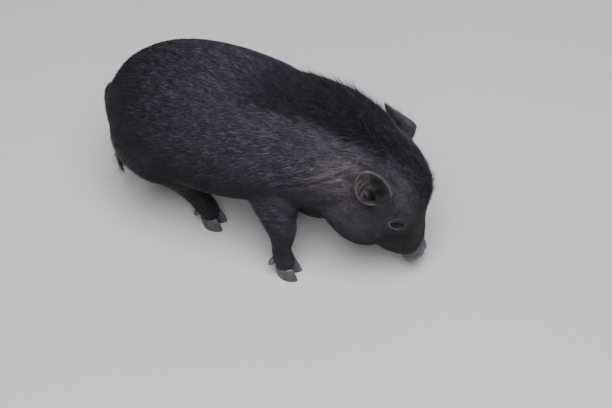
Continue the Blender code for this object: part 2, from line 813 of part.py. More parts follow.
def main():
    clear_scene()
    body = flesh()
    boolean(body, [half_space("muzzle_end", SNOUT)], "DIFFERENCE")
    ears = [ear(side, duplicate(body, "grown", swell=GAP)) for side in EARS]
    tail_node = tail(duplicate(body, "grown", swell=GAP))
    boolean(body, [ear_hollow(side) for side in EARS], "DIFFERENCE")
    crest(body)
    lids(body)
    mouth(body)
    legs = part_legs(body)
    neck, face = part_head(body)
    finish([body, neck, face, *legs, *ears, tail_node], material("skin", (0.030, 0.028, 0.034), 0.75))
    finish([snout_disc()], material("snout", (0.075, 0.073, 0.082), 0.45))
    finish(hooves(legs), material("hoof", (0.060, 0.062, 0.070), 0.40))
    finish([eye(side) for side in SIDES.values()], material("eye", (0.010, 0.007, 0.006), 0.08))
    centre_on_floor()


main()
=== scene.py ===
import math
from collections import namedtuple

import bmesh
import bpy
import numpy as np
from bpy.props import FloatProperty, FloatVectorProperty, IntProperty, PointerProperty
from mathutils import Matrix, Vector
from mathutils.bvhtree import BVHTree


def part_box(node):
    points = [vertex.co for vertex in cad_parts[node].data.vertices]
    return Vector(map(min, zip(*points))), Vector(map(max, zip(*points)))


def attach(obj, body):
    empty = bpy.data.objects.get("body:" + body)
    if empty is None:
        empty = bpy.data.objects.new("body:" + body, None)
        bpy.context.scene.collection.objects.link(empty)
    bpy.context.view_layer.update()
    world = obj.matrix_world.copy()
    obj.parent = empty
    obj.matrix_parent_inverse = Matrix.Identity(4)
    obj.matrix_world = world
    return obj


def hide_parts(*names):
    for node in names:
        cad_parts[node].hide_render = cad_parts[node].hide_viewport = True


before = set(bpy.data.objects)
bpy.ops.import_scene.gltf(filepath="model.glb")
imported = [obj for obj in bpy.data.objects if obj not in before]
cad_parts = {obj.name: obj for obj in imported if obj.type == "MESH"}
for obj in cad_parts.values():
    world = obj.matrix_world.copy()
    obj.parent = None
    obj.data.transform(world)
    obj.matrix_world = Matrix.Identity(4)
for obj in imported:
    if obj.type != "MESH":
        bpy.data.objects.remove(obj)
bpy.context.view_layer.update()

bl_info = {
    "name": "Miniature pig",
    "version": (1, 0, 0),
    "blender": (4, 5, 0),
    "location": "3D View > Sidebar > Pig",
    "description": "Dresses the solid model of a black piglet with its hide, coat, snout, eyes and claws",
    "category": "Object",
}

MM = 0.001
SIDES = {"right": -1, "left": 1}
TOES = {"inner": -1, "outer": 1}

# Trunk
TRUNK_LENGTH = 0.2205
TRUNK_DEPTH = 0.145
TRUNK_WIDTH = 0.134
RUMP_X = -0.1905
RUMP_AXIS_Z = 0.140
CHEST_AXIS_Z = 0.134

# Head, measured from the middle between the ear roots
HEAD_AT = (0.073, 0.0, 0.124)
HEAD_PITCH = math.radians(63)
HEAD_LENGTH = 0.110
HEAD_DEPTH = 0.094
HEAD_WIDTH = 0.096
SNOUT_WIDTH = 0.030
SNOUT_HEIGHT = 0.025
SNOUT_THICK = 0.0060
SNOUT_TILT = math.radians(8)
SNOUT_ALONG = 0.95
MUZZLE_Z = -0.008
NOSTRIL_SIZE = (0.0023, 0.0032)
NOSTRIL_DEPTH = 0.0042

# Ears
EAR_LENGTH = 0.037
EAR_WIDTH = 0.032
EAR_THICK = 0.0017
EAR_FOLD = math.radians(118)
EAR_TIP_FOLD = math.radians(34)
EAR_PASSAGE_AT = (0.006, 0, 0.0085)
EAR_PASSAGE = (0.0115, 0.0085, 0.0065)
EAR_LOBE_AT = (0.0045, 0.0095, 0.0070)
EAR_LOBE = (0.0075, 0.0042, 0.0040)
# Middle and half sizes of the shade painted in the hollow of each ear, along and across it
EAR_SHADE_MIDDLE = (0.013, -0.0050)
EAR_SHADE_HALVES = (0.0125, 0.0085)
EAR_REACH = 0.050
EAR_RIDGE = 0.0013
EAR_RIM = 0.0015

# Eyes, in the head's frame
EYE_RADIUS = 0.0080
EYE_AT = (0.0405, 0.0273, 0.0110)
EYE_FACING = (0.30, 0.88, 0.36)
LID_THICK = 0.0011
EYE_LENGTH = 0.0132
EYE_HEIGHT = 0.0092
EYE_TURN = math.radians(50)

# Legs and claws
CANNON_RADIUS = 0.0093
FETLOCK_Z = 0.026
CORONET_Z = 0.0128
CORONET_SLOPE = 0.16
CLAW_LENGTH = 0.0205
CLAW_WIDTH = 0.0098
CLAW_SPLAY = math.radians(6)
CLEFT = 0.0014
DEWCLAW = (0.0030, 0.0034, 0.0055)
DEWCLAW_AT = (-0.0135, 0.0066, 0.0205)
DEWCLAW_LEAN = math.radians(28)
DEWCLAW_SPLAY = 0.25

# Tail
TAIL_ROOT_RADIUS = 0.0044
TAIL_TIP_RADIUS = 0.0016
TAIL_ROOT = (0.012, 0, 0.150)
TAIL_RUN = (
    (0.0, 0.0, 0.0),
    (-0.0100, 0.0, -0.004),
    (-0.0150, -0.001, -0.015),
    (-0.0150, -0.002, -0.032),
    (-0.0125, -0.003, -0.059),
    (-0.0098, -0.005, -0.087),
    (-0.0080, -0.006, -0.110),
)

# The skin is made finer this near to an eye, and past this x and above this z of the head
FINE_EYE = 0.019
FINE_MUZZLE = (0.064, -0.060)

# Rounds of smoothing that blend the fused flesh, at the solids' own fineness
SOLID_VOXEL = 0.0021
SOLID_ROUNDS = 40

Row = namedtuple("Row", "along above below half_width")
Joint = namedtuple("Joint", "at half_length half_width")
Leg = namedtuple("Leg", "name side kind foot spread")
Ear = namedtuple("Ear", "side root run opening")
Hair = namedtuple("Hair", "roots normals flow length width rise shade warm uv")

LEGS = (
    Leg("foreleg_right", -1, "fore", 0.004, 0.050),
    Leg("foreleg_left", 1, "fore", -0.012, 0.038),
    Leg("hind_leg_right", -1, "hind", -0.087, 0.015),
    Leg("hind_leg_left", 1, "hind", -0.140, 0.030),
)

# Shares of the trunk's length, depth and width, from the rump to the chest
TRUNK_ROWS = (
    Row(0.00, 0.01, -0.18, 0.20),
    Row(0.04, 0.19, -0.30, 0.48),
    Row(0.12, 0.335, -0.39, 0.72),
    Row(0.25, 0.457, -0.46, 0.90),
    Row(0.40, 0.51, -0.52, 0.99),
    Row(0.55, 0.515, -0.535, 1.00),
    Row(0.70, 0.49, -0.50, 0.96),
    Row(0.84, 0.45, -0.44, 0.86),
    Row(0.95, 0.37, -0.34, 0.70),
    Row(1.00, 0.25, -0.22, 0.44),
)

# Shares of the head's length, depth and width, from the nape to the muzzle's end
HEAD_ROWS = (
    Row(-0.30, 0.26, -0.40, 0.68),
    Row(-0.14, 0.40, -0.52, 0.82),
    Row(0.06, 0.47, -0.58, 0.86),
    Row(0.25, 0.46, -0.56, 0.84),
    Row(0.42, 0.38, -0.54, 0.78),
    Row(0.57, 0.26, -0.51, 0.70),
    Row(0.72, 0.15, -0.46, 0.55),
    Row(0.86, 0.08, -0.38, 0.44),
    Row(1.03, 0.06, -0.26, 0.355),
)

# How far along the neck, and half its depth and width there
NECK_ROWS = ((0.0, 0.064, 0.060), (0.35, 0.063, 0.059), (0.7, 0.055, 0.052), (1.0, 0.044, 0.044))

# Middle and half sizes of the swellings of the face, in the head's frame, and of the breast
FACE_LUMPS = {
    "chin": ((0.078, 0, -0.028), (0.022, 0.0130, 0.010)),
    "jaw": ((0.056, 0, -0.034), (0.030, 0.0250, 0.019)),
    "cheek": ((0.020, 0.0175, -0.026), (0.054, 0.0325, 0.034)),
    "brow": ((0.034, 0.0230, 0.0200), (0.016, 0.011, 0.009)),
    "ear_root": ((-0.004, 0.029, 0.013), (0.018, 0.012, 0.016)),
}
BREAST = ((0.021, 0, 0.088), (0.037, 0.036, 0.037))

# Ears: the place of each root, the way to its tip and the way its cup faces, in the head's frame
EARS = {
    "right": Ear(-1, (-0.0050, -0.0350, 0.0195), (-0.93, -0.36, 0.06), (0.25, -0.92, 0.20)),
    "left": Ear(1, (-0.0030, 0.0350, 0.0115), (-0.93, 0.12, 0.12), (0.20, 0.85, 0.70)),
}

# Marks of the hide's faces that belong to an ear or to the tail
EAR_PART = 1
TAIL_PART = 2

# How far outside the pig the rays start that find places on its skin
RAY_REACH = 0.3
# Folds round each eye: radius, start and end in degrees, and depth
LID_FOLDS = (
    (10.6 * MM, 15, 170, 1.10 * MM),
    (14.2 * MM, 30, 155, 0.80 * MM),
    (10.4 * MM, 195, 340, 0.80 * MM),
    (14.0 * MM, 205, 320, 0.55 * MM),
)
# Highlight painted along the folds over each eye: radius and strength
FOLD_HIGHLIGHTS = ((9.3 * MM, 0.34), (12.6 * MM, 0.26))
# Folds across the snout's bridge: place along the head, reach round it and depth
BRIDGE_FOLDS = ((0.0965, 1.7, 1.00 * MM), (0.0905, 1.2, 0.45 * MM), (0.0845, 0.8, 0.30 * MM))
# Folds of the throat: place along the head and depth
THROAT_FOLDS = ((-0.030, 0.9 * MM), (-0.040, 0.8 * MM), (-0.052, 0.6 * MM))
# Folds of the elbow and the fetlock: height, half width and depth
LEG_FOLDS = (
    (0.080, 0.030, 1.0 * MM),
    (0.086, 0.034, 0.8 * MM),
    (0.033, 0.014, 0.5 * MM),
    (0.029, 0.014, 0.5 * MM),
)

# Thin, brown hair of the neck, cheek and brow: strength, middle and spread along the head, middle
# and spread of the height, and where it begins and is full to the side
WARM_PLACES = (
    (0.95, -0.030, 0.034, -0.004, 0.030, 0.018, 0.036),
    (0.30, 0.018, 0.030, -0.020, 0.026, 0.014, 0.034),
    (0.60, 0.010, 0.022, 0.030, 0.014, 0.010, 0.022),
)
# Colour of the shade painted in the ears' passages and hollows
PAINTED_EAR_SHADE_COLOUR = (0.003, 0.0025, 0.003)

# Steps of the snout's side and face: place along it and share of its size
SNOUT_SIDE = ((-0.0020, 0.86), (0.0004, 0.93), (0.0022, 0.985), (0.0042, 0.985), (0.0054, 0.95))
SNOUT_FACE = (0.88, 0.80, 0.71, 0.62, 0.53, 0.44, 0.35, 0.26, 0.17, 0.08)
NOSTRIL_AT = (0.0062, 0.0004)
NOSTRIL_TURN = 0.5

# Rings of the eye from its middle outwards, by the angle from its axis
IRIS_RINGS = (
    (0.0, (0.001, 0.001, 0.001)),
    (0.30, (0.001, 0.001, 0.001)),
    (0.36, (0.009, 0.005, 0.003)),
    (0.62, (0.015, 0.008, 0.005)),
    (0.72, (0.002, 0.001, 0.001)),
    (0.84, (0.022, 0.016, 0.015)),
    (1.0, (0.060, 0.042, 0.036)),
)
EYE_STREAKS = (0.010, 0.006, 0.005)

# Ways of the tail's hair, and height and run of the waves in the lie of all hair
TAIL_FLOW = (0.04, -0.03, -1.0)
WAVES = ((0.09, (61.0, 47.0, 83.0)), (0.07, (-133.0, 171.0, 97.0)))
# Run and bend of the light streaks of the coat, grey hair with painted sheen, and of the locks of the crest
SHEEN_STREAKS = ((210.0, 330.0, 270.0), (90.0, -70.0, 60.0))
LOCKS = ((620.0, 380.0, 540.0), (210.0, -330.0, 160.0))
# Hair: width of a tuft's patch on the unwrap, tufts in a piece of the coat, seeds of the draws
PATCH = 0.003
TUFTS_IN_PIECE = 19000
COAT_SEED, CREST_SEED, WHISKER_SEED = 41, 43, 47
CREST_WIDTH = 0.44 * MM
CREST_SHADE = 0.12
# Height where the tail's hair begins to lengthen
TAIL_TUFT_TOP = 0.115

# Studio: what the camera looks at, the floor's half width, and each light's name, place, size,
# power and colour
AIM = (0.0143, -0.0265, 0.08)
FLOOR_REACH = 4.0
LIGHTS = (
    ("key", (0.25, -0.60, 1.65), 1.2, 68, (0.95, 0.95, 1.0)),
    ("fill", (0.6, -1.5, 0.8), 0.5, 4, (1.0, 0.98, 0.97)),
    ("rim", (0.5, 1.2, 1.2), 1.5, 4, (0.90, 0.95, 1.0)),
)
SKY = (0.86, 0.92, 1.0, 1)
SKY_STRENGTH = 0.32


def middle(node):
    low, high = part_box(node)
    return (low + high) / 2


RAW_HEAD = Matrix.Translation(HEAD_AT) @ Matrix.Rotation(HEAD_PITCH, 4, "Y")
SHIFT = middle("eye_right") - RAW_HEAD @ Vector((EYE_AT[0], -EYE_AT[1], EYE_AT[2]))
BODY = Matrix.Translation(SHIFT)
HEAD = BODY @ RAW_HEAD
SNOUT_AT = (HEAD_LENGTH * SNOUT_ALONG, 0, MUZZLE_Z)
SNOUT = HEAD @ Matrix.Translation(SNOUT_AT) @ Matrix.Rotation(SNOUT_TILT, 4, "Y")

# Knots of the curve under the crest
SPINE = (
    (BODY, (-0.050, 0, 0.136)),
    (BODY, (0.018, 0, 0.158)),
    (HEAD, (-0.050, 0, -0.006)),
    (HEAD, (0.058, 0, -0.012)),
)


class PigHideSettings(bpy.types.PropertyGroup):
    """Sizes and colours of the skin"""

    voxel: FloatProperty(
        name="Fineness", description="Size of the skin's faces", default=1.88 * MM, unit="LENGTH"
    )
    coat_depth: FloatProperty(
        name="Coat depth", description="How far the skin lies under the outline", default=1.2 * MM,
        unit="LENGTH",
    )
    skin: FloatVectorProperty(
        name="Skin", description="Colour of the dark skin", default=(0.0125, 0.0115, 0.0145), subtype="COLOR"
    )
    pink: FloatVectorProperty(
        name="Thin skin", description="Colour where thin skin shows", default=(0.200, 0.140, 0.148),
        subtype="COLOR",
    )
    # Colour of the pale lower lid rims, and of the highlight painted on the folds over the eyes and along the
    # ears' rims
    pale: FloatVectorProperty(
        name="Pale skin", description="Colour of the lids' and ears' rims", default=(0.070, 0.064, 0.070),
        subtype="COLOR",
    )
    snout: FloatVectorProperty(
        name="Snout", description="Colour of the bare snout", default=(0.070, 0.069, 0.080), subtype="COLOR"
    )
    horn: FloatVectorProperty(
        name="Horn", description="Colour of the claws", default=(0.060, 0.060, 0.070), subtype="COLOR"
    )


class PigCoatSettings(bpy.types.PropertyGroup):
    """Lengths, thickness and colours of the hair"""

    density: FloatProperty(
        name="Density", description="Tufts on a square millimetre of the trunk", default=0.62
    )
    length: FloatProperty(
        name="Length", description="Length of the trunk's hair", default=9.5 * MM, unit="LENGTH"
    )
    width: FloatProperty(
        name="Width", description="Width of a tuft at its root", default=0.38 * MM, unit="LENGTH"
    )
    crest_length: FloatProperty(
        name="Crest", description="Length of the crest's bristles", default=18 * MM, unit="LENGTH"
    )
    crest_count: IntProperty(name="Bristles", description="Bristles in the crest", default=9000)
    black: FloatVectorProperty(
        name="Black", description="The darkest hair", default=(0.0103, 0.0100, 0.0145), subtype="COLOR"
    )
    # The lightest hair: grey hair with painted sheen
    sheen: FloatVectorProperty(
        name="Grey", description="The lightest hair", default=(0.117, 0.112, 0.149), subtype="COLOR"
    )
    brown: FloatVectorProperty(
        name="Brown", description="Hair of the cheeks and neck", default=(0.190, 0.160, 0.165),
        subtype="COLOR",
    )


class PigStudioSettings(bpy.types.PropertyGroup):
    """Camera, floor and lights"""

    azimuth: FloatProperty(
        name="Azimuth", description="Where the camera stands", default=math.radians(19), unit="ROTATION"
    )
    elevation: FloatProperty(
        name="Elevation", description="How far it looks down", default=math.radians(49), unit="ROTATION"
    )
    distance: FloatProperty(
        name="Distance", description="From the camera to the pig", default=1.35, unit="LENGTH"
    )
    lens: FloatProperty(name="Lens", description="Focal length in millimetres", default=85.0)
    floor: FloatVectorProperty(
        name="Floor", description="Colour of the floor", default=(0.42, 0.415, 0.405), subtype="COLOR"
    )


def local(matrix, points):
    """The points in the matrix's own frame, as an array."""
    return (points - np.array(matrix.translation)) @ np.array(matrix.to_3x3())


def ramp(low, high, value):
    """0 at low, 1 at high and smooth between them."""
    share = np.clip((value - low) / (high - low), 0.0, 1.0)
    return share * share * (3 - 2 * share)


def unit(vectors):
    return vectors / np.maximum(np.linalg.norm(vectors, axis=1, keepdims=True), 1e-12)


def bell(*offsets):
    """1 where every offset is 0, and less the farther they are from it."""
    return np.exp(-sum(offset**2 for offset in offsets))


def values_of(items, key, width=1, kind=np.float32):
    """One property of all the items of a mesh, as an array with a row of the width for each."""
    out = np.empty(len(items) * width, kind)
    items.foreach_get(key, out)
    return out.reshape(-1, width) if width > 1 else out


def positions(mesh):
    return values_of(mesh.vertices, "co", 3).astype(float)


def set_positions(mesh, points):
    mesh.vertices.foreach_set("co", points.astype(np.float32).ravel())
    mesh.update()


def point_normals(mesh):
    return values_of(mesh.vertex_normals, "vector", 3).astype(float)


def link(name, mesh):
    obj = bpy.data.objects.new(name, mesh)
    bpy.context.scene.collection.objects.link(obj)
    return obj


def link_bmesh(name, bm):
    mesh = bpy.data.meshes.new(name)
    bmesh.ops.recalc_face_normals(bm, faces=bm.faces)
    bm.to_mesh(mesh)
    bm.free()
    return link(name, mesh)


def remove(obj):
    bpy.data.objects.remove(obj, do_unlink=True)


def applied(obj):
    """Replaces the object's mesh by its evaluated one, in place."""
    bpy.context.view_layer.update()
    graph = bpy.context.evaluated_depsgraph_get()
    mesh = bpy.data.meshes.new_from_object(obj.evaluated_get(graph))
    obj.modifiers.clear()
    obj.data = mesh
    return obj


def subdivided(obj, levels):
    smooth = obj.modifiers.new("Round", "SUBSURF")
    smooth.levels = smooth.render_levels = levels
    return applied(obj)


def boolean(obj, others, operation):
    """Applies one Boolean of a collection of closed meshes, then removes them."""
    group = bpy.data.collections.new(operation)
    for other in others:
        group.objects.link(other)
    cut = obj.modifiers.new(operation, "BOOLEAN")
    cut.operation = operation
    cut.solver = "MANIFOLD"
    cut.operand_type = "COLLECTION"
    cut.collection = group
    before = len(obj.data.polygons)
    applied(obj)
    if len(obj.data.polygons) < before / 2:
        raise RuntimeError(f"the {operation} on {obj.name} lost most of its faces")
    for other in others:
        remove(other)
    bpy.data.collections.remove(group)
    return obj


def closed_ring(bm, verts):
    return [bm.edges.new((verts[i - 1], vert)) for i, vert in enumerate(verts)]


def capped(name, bm, rings):
    """A closed skin from the first ring of edges to the last."""
    for first, second in zip(rings, rings[1:]):
        bmesh.ops.bridge_loops(bm, edges=first + second)
    for end in (rings[0], rings[-1]):
        bmesh.ops.contextual_create(bm, geom=end)
    return link_bmesh(name, bm)


def ring(bm, matrix, row, sides, power):
    """The edges of one closed section in the matrix's YZ plane."""
    verts = []
    for side in range(sides):
        turn = math.tau * (side + 0.5) / sides
        across, height = math.cos(turn), math.sin(turn)
        y = math.copysign(abs(across) ** (2 / power), across) * row.half_width
        reach = row.above if height > 0 else -row.below
        z = math.copysign(abs(height) ** (2 / power), height) * reach
        verts.append(bm.verts.new(matrix @ Vector((row.along, y, z))))
    return closed_ring(bm, verts)


def loft(name, sections, levels=2, sides=16, power=2.0):
    """A closed, subdivided skin over sections, each a matrix and a Row."""
    bm = bmesh.new()
    obj = capped(name, bm, [ring(bm, matrix, row, sides, power) for matrix, row in sections])
    return subdivided(obj, levels) if levels else obj


def ellipsoid(name, matrix, centre, radii, detail=3):
    bm = bmesh.new()
    bmesh.ops.create_icosphere(bm, subdivisions=detail, radius=1.0)
    place = matrix @ Matrix.Translation(centre) @ Matrix.Diagonal((*radii, 1.0))
    bmesh.ops.transform(bm, matrix=place, verts=bm.verts)
    return link_bmesh(name, bm)


def frame_along(at, forward, up=Vector((0, 0, 1))):
    """A matrix at a point whose X axis runs forward and whose Z axis leans to up."""
    x = Vector(forward).normalized()
    y = Vector(up).cross(x).normalized()
    return Matrix.Translation(at) @ Matrix((x, y, x.cross(y))).transposed().to_4x4()


def tube(name, points, halves, up=(1, 0, 0.001), **shape):
    """A tapered tube through points, whose sections lie across its run."""
    sections = []
    last = len(points) - 1
    for i, (height, width) in enumerate(halves):
        run = points[min(i + 1, last)] - points[max(i - 1, 0)]
        sections.append((frame_along(points[i], run, up=Vector(up)), Row(0.0, height, -height, width)))
    return loft(name, sections, **shape)


def limb(name, joints):
    halves = [(joint.half_length, joint.half_width) for joint in joints]
    return tube(name, [BODY @ Vector(joint.at) for joint in joints], halves, sides=12)


def trunk():
    sections = []
    for row in TRUNK_ROWS:
        axis_z = RUMP_AXIS_Z + (CHEST_AXIS_Z - RUMP_AXIS_Z) * row.along
        matrix = BODY @ Matrix.Translation((RUMP_X + TRUNK_LENGTH * row.along, 0, axis_z))
        half = row.half_width * TRUNK_WIDTH / 2
        sections.append((matrix, Row(0.0, row.above * TRUNK_DEPTH, row.below * TRUNK_DEPTH, half)))
    return loft("trunk", sections, power=2.1)


def neck_core():
    """Bends from inside the shoulders down to the back of the head."""
    root = BODY @ Vector((-0.046, 0.0, CHEST_AXIS_Z + 0.005))
    nape = HEAD @ Vector((0.004, 0.0, -0.004))
    corner = Vector((nape.x - 0.014, nape.y, root.z + 0.008))
    sections = []
    for share, depth, width in NECK_ROWS:
        left = 1 - share
        at = root * left**2 + corner * 2 * left * share + nape * share**2
        run = (corner - root) * left + (nape - corner) * share
        sections.append((frame_along(at, run), Row(0.0, depth, -depth * 1.16, width)))
    return loft("neck_core", sections)


def head_core():
    scales = (HEAD_LENGTH, HEAD_DEPTH, HEAD_DEPTH, HEAD_WIDTH / 2)
    rows = [Row(*(share * scale for share, scale in zip(row, scales))) for row in HEAD_ROWS]
    return loft("head_core", [(HEAD, row) for row in rows], power=2.2)


def face_lumps():
    """The rounded swellings of both sides of the face."""
    lumps = []
    for name, ((x, y, z), radii) in FACE_LUMPS.items():
        for side in SIDES.values() if y else (1,):
            lumps.append(ellipsoid(name, HEAD, (x, side * y, z), radii))
    return lumps


def fore_limb(leg):
    """Shoulder, upper arm and foreleg down into the claws."""
    x, y = leg.foot, leg.side * leg.spread
    shoulder = (-0.018, leg.side * 0.034, 0.132)
    joints = (
        Joint((-0.012, leg.side * 0.037, 0.126), 0.031, 0.017),
        Joint((-0.012, y * 0.90, 0.096), 0.026, 0.0165),
        Joint((x * 0.4 - 0.004, y * 0.97, 0.071), 0.0175, 0.0138),
        Joint((x * 0.8 - 0.004, y, 0.052), 0.0132, 0.0122),
        Joint((x - 0.006, y, 0.038), CANNON_RADIUS, CANNON_RADIUS),
        Joint((x - 0.007, y, FETLOCK_Z), 0.0112, 0.0117),
        Joint((x - 0.001, y, 0.016), 0.0108, 0.0120),
        Joint((x + 0.002, y, 0.0105), 0.0092, 0.0104),
    )
    return [ellipsoid("shoulder", BODY, shoulder, (0.036, 0.026, 0.046)), limb("foreleg", joints)]


def hind_limb(leg):
    """Ham, thigh and hind leg down into the claws."""
    x, y = leg.foot, leg.side * leg.spread
    hip = RUMP_X + 0.048
    hock = min(x - 0.027, hip + 0.027)
    ham = (hip + 0.012, leg.side * 0.029, 0.119)
    knee = ((hip + hock) / 2 + 0.006, leg.side * (0.036 + leg.spread) / 2, 0.076)
    joints = (
        Joint((hip + 0.008, leg.side * 0.034, 0.130), 0.036, 0.024),
        Joint((hip + 0.018, leg.side * 0.036, 0.100), 0.029, 0.021),
        Joint(knee, 0.024, 0.0165),
        Joint((hock, y * 1.05, 0.053), 0.0160, 0.0125),
        Joint((hock * 0.55 + x * 0.45, y, 0.038), 0.0122, 0.0112),
        Joint((x - 0.007, y, FETLOCK_Z), 0.0116, 0.0120),
        Joint((x - 0.001, y, 0.016), 0.0108, 0.0120),
        Joint((x + 0.002, y, 0.0105), 0.0092, 0.0104),
    )
    return [ellipsoid("ham", BODY, ham, (0.048, 0.0305, 0.052)), limb("hind_leg", joints)]


def tail_core():
    root = BODY @ (Vector((RUMP_X, 0, 0)) + Vector(TAIL_ROOT))
    last = len(TAIL_RUN) - 1
    radii = [TAIL_ROOT_RADIUS + (TAIL_TIP_RADIUS - TAIL_ROOT_RADIUS) * i / last for i in range(last + 1)]
    points = [root + Vector(step) for step in TAIL_RUN]
    return tube("tail", points, [(radius, radius) for radius in radii], sides=12)


def fused(pieces, name, voxel, rounds):
    """One smooth closed skin over overlapping closed pieces."""
    bm = bmesh.new()
    for piece in pieces:
        bm.from_mesh(piece.data)
        remove(piece)
    obj = link_bmesh(name, bm)
    weld = obj.modifiers.new("Fuse", "REMESH")
    weld.mode = "VOXEL"
    weld.voxel_size = voxel
    blend = obj.modifiers.new("Blend", "SMOOTH")
    blend.factor = 0.5
    blend.iterations = rounds
    return applied(obj)


def eye_matrix(side):
    x, y, z = EYE_AT
    facing = Vector((EYE_FACING[0], side * EYE_FACING[1], EYE_FACING[2]))
    along = Vector((1.0, 0.0, -0.35))
    return HEAD @ frame_along((x, side * y, z), facing, up=along.cross(facing) * side)


def lid_matrix(side):
    """The eye's matrix, turned so that Y runs along the slanting opening of the lids."""
    return eye_matrix(side) @ Matrix.Rotation(-side * EYE_TURN, 4, "X")


def ear_matrix(ear):
    """The ear's root, with X along its length and Z out of its opening."""
    return HEAD @ frame_along(ear.root, ear.run, up=ear.opening)


def head_share(points):
    """1 on the head, 0 behind the jaw and the poll."""
    at = local(HEAD, points)
    return ramp(-0.048, -0.004, at[:, 0]) * ramp(-0.088, -0.066, at[:, 2])


def muzzle_shade_share(points):
    """1 where shade is painted on the muzzle's skin and hair, in front of the eyes, 0 behind them."""
    return ramp(0.044, 0.066, local(HEAD, points)[:, 0]) * head_share(points)


def collar_share(points):
    """1 on the bare end of the muzzle behind the snout's disc, 0 on the haired skin."""
    at = local(HEAD, points)
    return ramp(0.0965, 0.0995, at[:, 0] + 0.10 * (at[:, 2] - MUZZLE_Z)) * head_share(points)


def leg_share(points):
    """1 on the legs below the elbow and the knee, 0 on the trunk."""
    share = ramp(0.082, 0.058, points[:, 2])
    return share * (1 - head_share(points))


def depth_under_coat(points, coat_depth):
    """How far the skin lies under the solid's surface."""
    at = local(HEAD, points)
    muzzle = ramp(0.050, 0.085, at[:, 0]) * head_share(points)
    share = 1 - 0.55 * head_share(points) - 0.62 * leg_share(points) - 0.35 * muzzle
    return coat_depth * np.clip(share, 0.08, 1.0)


def slim_muzzle(points):
    """Narrows the muzzle behind the disc, whose rim then stands proud, and sets the chin back."""
    at = local(HEAD, points)
    head = head_share(points)
    factor = 1 - 0.15 * ramp(0.088, 0.1025, at[:, 0]) * head
    at[:, 1] *= factor
    at[:, 2] = MUZZLE_Z + (at[:, 2] - MUZZLE_Z) * factor
    at[:, 0] -= 0.007 * ramp(-0.019, -0.027, at[:, 2]) * ramp(0.084, 0.108, at[:, 0]) * head
    return at @ np.array(HEAD.to_3x3()).T + np.array(HEAD.translation)


def distance_to_path(points, path):
    """The distance from each point to a polyline, and how far along it the nearest place is."""
    best = np.full(len(points), 1e9)
    where = np.zeros(len(points))
    path = np.array([point for point in path if point is not None], float)
    for i in range(len(path) - 1):
        run = path[i + 1] - path[i]
        share = np.clip((points - path[i]) @ run / max(run @ run, 1e-12), 0, 1)
        gap = np.linalg.norm(points - (path[i] + share[:, None] * run), axis=1)
        nearer = gap < best
        best[nearer] = gap[nearer]
        where[nearer] = (i + share[nearer]) / (len(path) - 1)
    return best, where


def crease(points, path, width, depth, lip=0.5):
    """How far a fold along a path moves each point along its normal: a groove between two soft rolls."""
    gap, where = distance_to_path(points, path)
    fade = np.sin(np.pi * np.clip(where, 0.04, 0.96)) ** 0.6
    rolls = lip * depth * bell((gap - 2.0 * width) / (1.1 * width))
    return (rolls - depth * bell(gap / width)) * fade


def tree_of(obj):
    bpy.context.view_layer.update()
    return BVHTree.FromObject(obj, bpy.context.evaluated_depsgraph_get())


def on_skin(tree, inside, outward):
    """Where a ray from outside the pig meets the skin, on its way to a point inside, or None."""
    outward = outward.normalized()
    return tree.ray_cast(inside + outward * RAY_REACH, -outward)[0]


def head_path(tree, places):
    """Points on the skin above places given in the head's frame, each with the way out of the head."""
    turn = HEAD.to_3x3()
    return [on_skin(tree, HEAD @ Vector(inside), turn @ Vector(outward)) for inside, outward in places]


def mouth_path(tree, steps=14):
    """Points on the skin round the muzzle, from one corner of the mouth to the other."""
    reach = math.radians(106)
    places = []
    for step in range(steps + 1):
        turn = reach * (2 * step / steps - 1)
        curl = 0.0045 * abs(turn / reach) ** 3
        places.append(((0.072, 0, -0.0247 + curl), (math.cos(turn), math.sin(turn), 0)))
    return head_path(tree, places)


def arc_path(tree, matrix, radius, start, end, steps=10):
    """Points on the skin on an arc round a matrix's X axis."""
    facing = matrix.to_3x3() @ Vector((1, 0, 0))
    path = []
    for step in range(steps + 1):
        turn = math.radians(start + (end - start) * step / steps)
        inside = matrix @ Vector((-0.004, radius * math.cos(turn), radius * math.sin(turn)))
        path.append(on_skin(tree, inside, facing))
    return path


def face_folds(tree, points):
    """Folds of the mouth, the lids, the snout's bridge and the cheek."""
    move = crease(points, mouth_path(tree), 0.9 * MM, 1.5 * MM, lip=0.55)
    for side in SIDES.values():
        for radius, start, end, depth in LID_FOLDS:
            move += crease(points, arc_path(tree, lid_matrix(side), radius, start, end), 1.0 * MM, depth)
        cheek = [
            ((0.070, 0, -0.020), (0.10, side, -0.15)),
            ((0.060, 0, -0.022), (0.0, side, -0.20)),
            ((0.050, 0, -0.026), (0.0, side, -0.35)),
            ((0.040, 0, -0.034), (0.0, side, -0.60)),
        ]
        move += crease(points, head_path(tree, cheek), 1.8 * MM, 1.0 * MM)
    for x, reach, depth in BRIDGE_FOLDS:
        turns = np.linspace(-reach, reach, 15)
        bridge = [((x, 0, -0.012), (0.15, math.sin(turn), math.cos(turn))) for turn in turns]
        move += crease(points, head_path(tree, bridge), 1.0 * MM, depth)
    return move


def body_folds(tree, points):
    """Folds of the throat, the elbows and the fetlocks."""
    move = np.zeros(len(points))
    for side in SIDES.values():
        for x, depth in THROAT_FOLDS:
            turns = np.linspace(0.75, 2.3, 8)
            neck = [((x, 0, -0.015), (-0.1, side * math.sin(turn), math.cos(turn))) for turn in turns]
            move += crease(points, head_path(tree, neck), 2.4 * MM, depth)
    for leg in LEGS:
        x, y = leg.foot, leg.side * leg.spread
        for z, half, depth in LEG_FOLDS if leg.kind == "fore" else LEG_FOLDS[2:]:
            centre = BODY @ Vector((x * (0.5 if z > 0.05 else 0.9) - 0.005, y * 0.95, z))
            path = []
            for step in range(7):
                turn = math.radians(-65 + 130 * step / 6)
                outward = Vector((math.sin(turn), leg.side * math.cos(turn), 0.0))
                path.append(on_skin(tree, centre + Vector((0, 0, 0.10 * half * math.cos(turn))), outward))
            move += crease(points, path, 1.5 * MM, depth)
    return move


